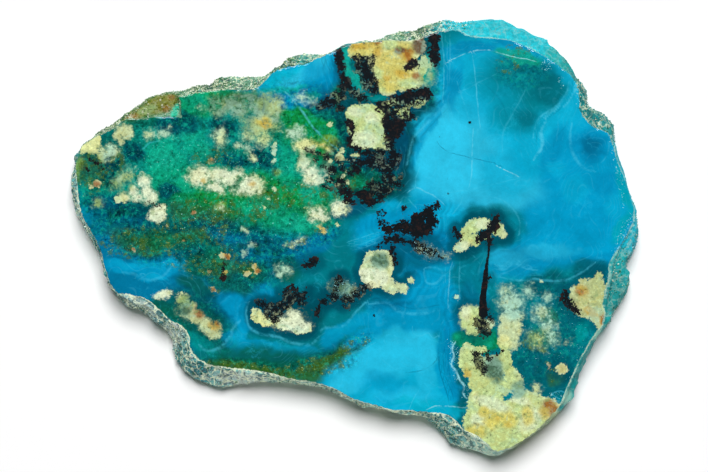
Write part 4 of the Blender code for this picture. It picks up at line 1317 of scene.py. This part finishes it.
def blue_stone(finish, grain, ground, waves):
    """Clear chalcedony: soft clouds of lighter and darker blue with faint milky wisps."""
    light = 1 + 0.36 * grain.broad + 0.16 * grain.coarse + 0.14 * grain.fine + 0.1 * grain.crumbs
    streak = finish.noise(finish.wander(grain.place, 4.0, 2.0), 2.6, 3.0, 0.6)
    wisps = abs(streak).rise(0.06, 0.0) * grain.broad.rise(-0.1, 0.3) * 0.2
    colour = finish.mix(wisps, finish.shade(ground, light), tone("sky_blue"))
    contour = (finish.noise(finish.wander(grain.place, 9.0, 3.0), 14.0, 1.0, 0.3) * 110).sine().rise(0.8, 1.0)
    colour = finish.mix(contour * streak.rise(-0.1, 0.16) * 0.11, colour, tone("foam"))
    return finish.shade(colour, 1 + waves)


def green_stone(finish, grain, ground):
    """Mottled stone: shreds of dark teal and of bright green, and a web of pale threads."""
    flakes = finish.noise(finish.wander(grain.place, 1.6, 1.3), 1.7, 5.0, 0.6)
    chips = finish.noise(finish.wander(grain.place, 0.8, 0.6), 0.75, 3.0, 0.6)
    threads = abs(finish.noise(finish.wander(grain.place, 1.5, 1.4), 1.5, 4.0, 0.6))
    colour = finish.shade(ground, 0.88 + 1.1 * flakes + 0.9 * chips + 0.9 * grain.fine + 0.6 * grain.crumbs)
    dark = (grain.lumps + 0.6 * flakes + 0.4 * chips).rise(0.06, 0.34)
    colour = finish.mix(dark * 0.5, colour, tone("deep_teal"))
    pale = (flakes - 0.8 * grain.lumps + 0.8 * chips).rise(0.1, 0.44)
    colour = finish.mix(pale * 0.4, colour, tone("mint"))
    black = (chips - flakes - 0.5 * grain.lumps).rise(0.16, 0.4)
    colour = finish.mix(black * 0.55, colour, tone("bottle_green"))
    strand = threads.rise(0.05, 0.0) * (0.3 + 2.0 * chips + grain.lumps).most(0.0) * 0.8
    return finish.mix(strand, colour, tone("jade"))


def specks(finish, grain, colour, density):
    """Olive, amber and yellow grains, crowded where density is high."""
    bent = finish.wander(grain.place, 0.6, 0.5)
    crowd = finish.noise(bent, 0.95, 3.0, 0.6) + 0.5 * grain.coarse + 0.12 * density
    here = density.rise(0.02, 0.5)
    colour = finish.mix(crowd.rise(0.1, 0.3) * here * 0.6, colour, tone("olive"))
    hue = finish.noise(grain.place, 1.6, 2.0)
    warm = finish.mix(hue.rise(0.12, 0.24), tone("amber"), tone("rust"))
    colour = finish.mix(crowd.rise(0.45, 0.58) * here * 0.7, colour, warm)
    bright = (grain.crumbs + 0.6 * grain.fine + 0.5 * crowd).rise(0.36, 0.5) * here
    return finish.mix(bright * 0.6, colour, tone("celery"))


def crust_colour(finish, grain, tint):
    """Porous crust: granular, with paler and rustier grains, and painted shade in its small pores."""
    hue = finish.noise(finish.wander(grain.place, 1.6, 1.2), 2.0, 4.0, 0.66)
    curds = finish.noise(finish.wander(grain.place, 0.7, 0.5), 0.8, 3.0, 0.62)
    colour = finish.shade(tint, 0.93 + 0.6 * curds + 0.4 * grain.fine + 0.3 * grain.crumbs)
    swirl = finish.noise(finish.wander(grain.place, 5.0, 4.0), 4.0, 3.0, 0.6)
    colour = finish.mix(swirl.rise(0.06, 0.22) * 0.22, colour, tone("lemon"))
    colour = finish.mix(swirl.rise(-0.06, -0.22) * 0.35, colour, tone("milky"))
    colour = finish.mix((hue + 0.4 * curds).rise(0.18, 0.42) * 0.3, colour, tone("ochre"))
    colour = finish.mix((curds - hue).rise(0.1, 0.36) * 0.2, colour, tone("milky"))
    colour = finish.mix((grain.coarse + 0.6 * curds).rise(-0.1, -0.34) * 0.5, colour, tone("lichen"))
    colour = finish.mix((curds + 0.6 * grain.fine).rise(0.12, 0.4) * 0.65, colour, finish.shade(tint, 1.35))
    # Painted shade: the crust's own tint, darkened, where shade falls inside its pores.
    pore_shade = (grain.fine + 0.7 * curds + 0.5 * grain.crumbs).rise(-0.24, -0.4)
    return finish.mix(pore_shade * 0.7, colour, finish.shade(tint, 0.25))


def rim_colour(finish, grain, tint, speckle):
    """The broken rim: pale and dark flakes with a crackle of bright and of dark lines."""
    bent = finish.wander(grain.place, 1.2, 1.1)
    flint = finish.noise(bent, 1.3, 4.0, 0.66)
    bright_cracks = finish.cracks(bent, 2.0).rise(0.12, 0.03)
    crooked = finish.wander(grain.place, 2.0, 2.0)
    dark_cracks = finish.cracks(crooked, 3.0).rise(0.12, 0.04)
    colour = finish.shade(tint, 1 + 0.7 * grain.fine + 0.9 * grain.coarse * (0.3 + speckle))
    glass = (grain.coarse + 0.5 * flint).rise(0.04, 0.2)
    colour = finish.mix(glass * speckle * 0.55, colour, tone("turquoise"))
    dark = (flint + 0.5 * grain.coarse).rise(-0.08, -0.22).most(dark_cracks)
    colour = finish.mix(dark * speckle * 0.8, colour, tone("dark_teal"))
    white = (flint + 0.4 * grain.crumbs).rise(0.1, 0.24)
    colour = finish.mix(white * speckle * 0.6, colour, tone("chalk"))
    lines = bright_cracks * (0.04 + speckle) * (0.8 + 2.0 * flint + grain.coarse)
    return finish.mix(lines, colour, tone("pale_cream"))


def veined(finish, grain, colour, sparkle_glint):
    """Pale and dark lines, broken here and there, and white flecks where minute crystals sparkle: partly the
    crystals' white, partly painted glints.
    """
    side, width, strength = finish.parts("veins")
    wobble = abs(side + 0.35 * grain.coarse)
    line = (wobble / width.most(0.001)).rise(1.7, 0.0) * width.rise(0.01, 0.05)
    gaps = (grain.coarse + grain.broad + 0.5 * grain.fine).rise(-0.45, 0.3) * 0.8
    pale = finish.mix(strength.rise(0.5, 0.9), tone("foam"), tone("vein_white"))
    colour = finish.mix(line * strength.most(0.0) * gaps, colour, pale)
    colour = finish.mix(line * (-strength).most(0.0) * gaps, colour, tone("night_blue"))
    # Painted glints: white flecks where the minute crystals catch the light.
    glint_fleck = (grain.crumbs + 0.6 * grain.fine + 0.22 * sparkle_glint).rise(0.42, 0.5) * sparkle_glint.rise(0.02, 0.2)
    return finish.mix(glint_fleck * 0.85, colour, tone("vein_white"))


def stone_finish():
    """The whole stone: its clear and its mottled half, the minerals, the veins and the broken rim."""
    finish = Finish(bpy.data.materials.new("polished_chrysocolla"))
    grain = Grain(finish)
    crust, cloud, black = finish.parts("minerals")
    speck_density, mottle, sparkle_glint = finish.parts("texture")
    edge, halo, chips = finish.parts("edges")
    speckle, dots, banded = finish.parts("rim")
    crumbly, glinting_lip, soft = finish.parts("extra")
    ground = finish.attribute("ground", "Color")
    crust_tint = finish.attribute("crust_tint", "Color")
    rim_tint = finish.attribute("rim_tint", "Color")

    away = -crust.most(black)
    waves = (away * 5.0 + grain.broad * 9.0 + grain.coarse * 3.0).sine() * banded * away.rise(5.0, 1.5) * 0.1
    blue = blue_stone(finish, grain, ground, waves)
    green = green_stone(finish, grain, ground)
    colour = finish.mix(mottle, blue, green)
    dark_ring = (away + 0.6 * grain.coarse).rise(2.3, 0.5) * halo * 0.85
    colour = finish.mix(dark_ring, colour, tone("halo_teal"))
    colour = specks(finish, grain, colour, speck_density)

    crust_here = crust_colour(finish, grain, crust_tint)
    veil = (cloud + 2.2 * grain.coarse + 1.2 * grain.fine).rise(-0.8, 1.9)
    tufts = (cloud + 3.0 * grain.coarse + 3.2 * grain.fine + 1.6 * grain.crumbs).rise(0.1, 1.3)
    colour = finish.mix(veil * 0.66 + tufts * 0.34, colour, crust_here)
    grown = crust + (0.8 + 0.6 * soft) * grain.coarse + 0.9 * grain.fine + 0.3 * grain.crumbs
    crust_mask = ((grown + 0.12 + 0.4 * soft) / (0.26 + 1.1 * soft)).rise(0.0, 1.0)
    colour = finish.mix(crust_mask, colour, crust_here)
    ragged = (black + 1.6 * grain.coarse + 2.0 * grain.fine + 0.6 * grain.crumbs).rise(-0.02, 0.16)
    riddled = (grain.fine + 0.8 * grain.coarse + 0.5 * grain.crumbs).rise(0.06, 0.2) * crumbly
    black_mask = (ragged * (1 - riddled)).most((dots + 0.3 * grain.fine).rise(-0.08, 0.08))
    jet = finish.mix((grain.coarse + grain.fine).rise(0.05, 0.4), tone("ink"), tone("umber"))
    bits = finish.mix(grain.coarse.rise(0.02, 0.12), tone("teal"), crust_here)
    colour = finish.mix(ragged * riddled * 0.8, colour, bits)
    colour = finish.mix(black_mask, colour, jet)

    colour = veined(finish, grain, colour, sparkle_glint)

    polish = (edge + 0.7 * grain.fine + 0.5 * grain.coarse).rise(-0.06, 0.06)
    rim = rim_colour(finish, grain, rim_tint, speckle)
    # The chipped lip: pale broken stone, with a painted highlight where the edge of the polish catches the
    # light.
    ledge = abs(edge + 0.12 + 0.8 * grain.fine + 0.6 * grain.coarse)
    broken = (grain.coarse + grain.fine).rise(-0.4, 0.1)
    chipped_and_glint = ledge.rise(0.32, 0.1) * glinting_lip.most(chips * 0.5) * broken
    rim = finish.mix(chipped_and_glint * 0.9, rim, tone("pale_cream"))

    porous = crust_mask.most(black_mask * 0.6)
    relief = 0.5 * grain.coarse + 0.5 * grain.fine
    dull = 1.0 - polish
    height = 0.02 * porous * polish + dull * (0.1 + 0.3 * speckle)
    finish.dress({
        "Base Color": finish.mix(polish, rim, colour),
        "Roughness": 0.09 + 0.07 * porous * polish + 0.65 * dull,
        "Specular IOR Level": 0.3,
        "IOR": QUARTZ_IOR,
        "Normal": finish.bump(relief * height),
    })
    return finish.owner


def crystal_shape():
    """A six-sided quartz crystal, one long, with a pointed end: its corners and its faces."""
    sides = CRYSTAL_SIDES
    turn = [2 * math.pi * k / sides for k in range(sides)]
    foot = [(CRYSTAL_SLIMNESS * math.cos(a), CRYSTAL_SLIMNESS * math.sin(a), 0.0) for a in turn]
    shoulder = [(x * SHOULDER_WIDTH, y * SHOULDER_WIDTH, SHOULDER_HEIGHT) for x, y, z in foot]
    corners = np.array(foot + shoulder + [(0.0, 0.0, 1.0)])
    faces = []
    for k in range(sides):
        after = (k + 1) % sides
        faces.append((k, after, sides + after, sides + k))
        faces.append((sides + k, sides + after, 2 * sides))
    return corners, faces


class CHRYSO_OT_druse(bpy.types.Operator):
    """Grow a crust of small quartz crystals on the rim."""
    bl_idname = "chryso.druse"
    bl_label = "Rim crystals"

    def execute(self, context):
        sizes = context.scene.chryso_druse
        slab = bpy.data.objects["polished_slab"]
        chance = np.random.default_rng(sizes.seed)
        mesh = slab.data
        count = len(mesh.polygons)
        centres, normals, areas = np.empty(count * 3), np.empty(count * 3), np.empty(count)
        mesh.polygons.foreach_get("center", centres)
        mesh.polygons.foreach_get("normal", normals)
        mesh.polygons.foreach_get("area", areas)
        centres, normals = centres.reshape(-1, 3), normals.reshape(-1, 3)
        wall = (polish_depth(centres) < -DRUSE_MARGIN) & (centres[:, 2] > DRUSE_LOWEST)
        weight = areas * wall * summed(pixels_of(centres), DRUSE)
        picks = chance.choice(count, sizes.crystals, p=weight / weight.sum())
        corners, faces = crystal_shape()
        all_corners, all_faces, shades = [], [], []
        for n, pick in enumerate(picks):
            lean = Vector(normals[pick]) + LEAN * Vector(chance.normal(0, LEAN_SPREAD, 3))
            lean.z += LEAN_UP
            spin = Matrix.Rotation(chance.uniform(0, ANY_TURN), 3, "Z")
            turn = lean.to_track_quat("Z", "Y").to_matrix() @ spin
            length = sizes.length * chance.uniform(*LENGTHS)
            width = chance.uniform(*WIDTHS)
            shape = (corners * np.array((width, width, 1.0))) @ np.array(turn).T * length
            sunk = centres[pick] - np.array(lean.normalized()) * length * SUNK_SHARE
            all_corners.append(shape + sunk)
            start = n * len(corners)
            all_faces += [tuple(start + i for i in face) for face in faces]
            shades += [chance.uniform()] * len(corners)
        joined = bpy.data.meshes.new("rim_druse")
        joined.from_pydata(np.vstack(all_corners), [], all_faces)
        druse = bpy.data.objects.new("rim_druse", joined)
        context.scene.collection.objects.link(druse)
        keep_in_box(joined)
        points = pixels_of(np.vstack(all_corners))
        write_colours(joined, "rim_tint", painted(points, "frost", RIM_TINT))
        shade = joined.attributes.new("shade", "FLOAT", "POINT")
        shade.data.foreach_set("value", shades)
        joined.materials.append(druse_finish())
        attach(druse, "root")
        return {"FINISHED"}


def druse_finish():
    """Small quartz crystals, pale, mossy or beige, each a little different."""
    finish = Finish(bpy.data.materials.new("rim_quartz"))
    place = finish.place()
    shade = finish.attribute("shade")
    fine = finish.noise(place, 0.5, 2.0)
    patchy = finish.noise(place, 3.0, 3.0)
    colour = finish.shade(finish.attribute("rim_tint", "Color"), 0.8 + 0.6 * shade + 0.4 * fine)
    colour = finish.mix(shade.rise(0.72, 0.92) * 0.75, colour, tone("chalk"))
    colour = finish.mix(shade.rise(0.3, 0.1) * 0.75, colour, tone("moss"))
    colour = finish.mix((patchy + shade - 0.5).rise(0.1, 0.3) * 0.4, colour, tone("beige"))
    finish.dress({"Base Color": colour, "Roughness": 0.2, "IOR": QUARTZ_IOR})
    return finish.owner


def floor_finish():
    """Matt and nearly white."""
    finish = Finish(bpy.data.materials.new("studio_floor"))
    colour = (*bpy.context.scene.chryso_studio.floor_colour, 1.0)
    finish.dress({"Base Color": colour, "Roughness": 0.9, "Specular IOR Level": 0.0})
    return finish.owner


def soft_light(name, power, size, azimuth, elevation):
    """A round light that faces the stone; azimuth in degrees from +Y towards +X."""
    light = bpy.data.lights.new(name, "AREA")
    light.shape = "DISK"
    light.size = size
    light.energy = power
    lamp = bpy.data.objects.new(name, light)
    bpy.context.scene.collection.objects.link(lamp)
    across, up = math.radians(azimuth), math.radians(elevation)
    toward = Vector((math.sin(across) * math.cos(up), math.cos(across) * math.cos(up), math.sin(up)))
    lamp.location = toward * LIGHT_DISTANCE
    lamp.rotation_euler = toward.to_track_quat("Z", "Y").to_euler()


def light_room():
    """A room that is bright round the horizon and dark overhead, which keeps the polish clear from above."""
    room = Finish(bpy.data.worlds.new("studio_room"), "Background")
    bpy.context.scene.world = room.owner
    direction = room.add("TexCoord", output="Generated")
    height = room.add("SeparateXYZ", None, {0: direction}, output="Z")
    ends = {"From Min": ROOM_LOW, "From Max": ROOM_HIGH, "To Max": ROOM_DARK}
    ends["To Min"] = bpy.context.scene.chryso_studio.fill
    room.dress({"Strength": room.add("MapRange", None, {"Value": height, **ends})})


class CHRYSO_OT_stage(bpy.types.Operator):
    """Set up the floor, the soft light and the camera."""
    bl_idname = "chryso.stage"
    bl_label = "Stage"

    def execute(self, context):
        studio = context.scene.chryso_studio
        deselect()
        bpy.ops.mesh.primitive_circle_add(vertices=FLOOR_CORNERS, radius=FLOOR_RADIUS, fill_type="NGON")
        floor = context.active_object
        floor.name = "floor"
        floor.data.materials.append(floor_finish())

        soft_light("key_light", studio.key_power, KEY_SIZE, KEY_AZIMUTH, KEY_ELEVATION)
        soft_light("front_light", studio.front_power, FRONT_SIZE, FRONT_AZIMUTH, FRONT_ELEVATION)
        light_room()

        camera_data = bpy.data.cameras.new("camera")
        camera = bpy.data.objects.new("camera", camera_data)
        context.scene.collection.objects.link(camera)
        width = PHOTO_WIDTH / PIXELS_PER_MM * MM
        camera_data.sensor_width = SENSOR_WIDTH
        camera_data.lens = SENSOR_WIDTH * studio.camera_height / width
        camera_data.clip_end = CLIP_END
        x = (PHOTO_WIDTH / 2 - PIXEL_UNDER_ORIGIN[0]) / PIXELS_PER_MM * MM
        y = (PIXEL_UNDER_ORIGIN[1] - PHOTO_HEIGHT / 2) / PIXELS_PER_MM * MM
        camera.location = (x, y, THICKNESS + studio.camera_height)
        context.scene.camera = camera
        context.scene.view_settings.view_transform = "Standard"
        return {"FINISHED"}


class CHRYSO_PT_panel(bpy.types.Panel):
    """Lists the slab's operators and settings."""
    bl_label = "Chrysocolla"
    bl_idname = "CHRYSO_PT_panel"
    bl_space_type = "VIEW_3D"
    bl_region_type = "UI"
    bl_category = "Chrysocolla"

    def draw(self, context):
        for operator in OPERATORS:
            self.layout.operator(operator.bl_idname)
        for name, group in GROUPS.items():
            box = self.layout.box()
            box.label(text=group.__doc__)
            for setting in group.__annotations__:
                box.prop(getattr(context.scene, name), setting)


GROUPS = {
    "chryso_tones": CHRYSO_Tones,
    "chryso_slab": CHRYSO_Slab,
    "chryso_druse": CHRYSO_Druse,
    "chryso_studio": CHRYSO_Studio,
}
OPERATORS = (CHRYSO_OT_stage, CHRYSO_OT_slab, CHRYSO_OT_druse)


def register():
    for name, group in GROUPS.items():
        bpy.utils.register_class(group)
        setattr(bpy.types.Scene, name, bpy.props.PointerProperty(type=group))
    for operator in OPERATORS:
        bpy.utils.register_class(operator)
    bpy.utils.register_class(CHRYSO_PT_panel)


def unregister():
    bpy.utils.unregister_class(CHRYSO_PT_panel)
    for operator in reversed(OPERATORS):
        bpy.utils.unregister_class(operator)
    for name, group in reversed(GROUPS.items()):
        delattr(bpy.types.Scene, name)
        bpy.utils.unregister_class(group)


def main():
    register()
    bpy.ops.chryso.stage()
    bpy.ops.chryso.slab()
    bpy.ops.chryso.druse()


if __name__ == "__main__":
    main()
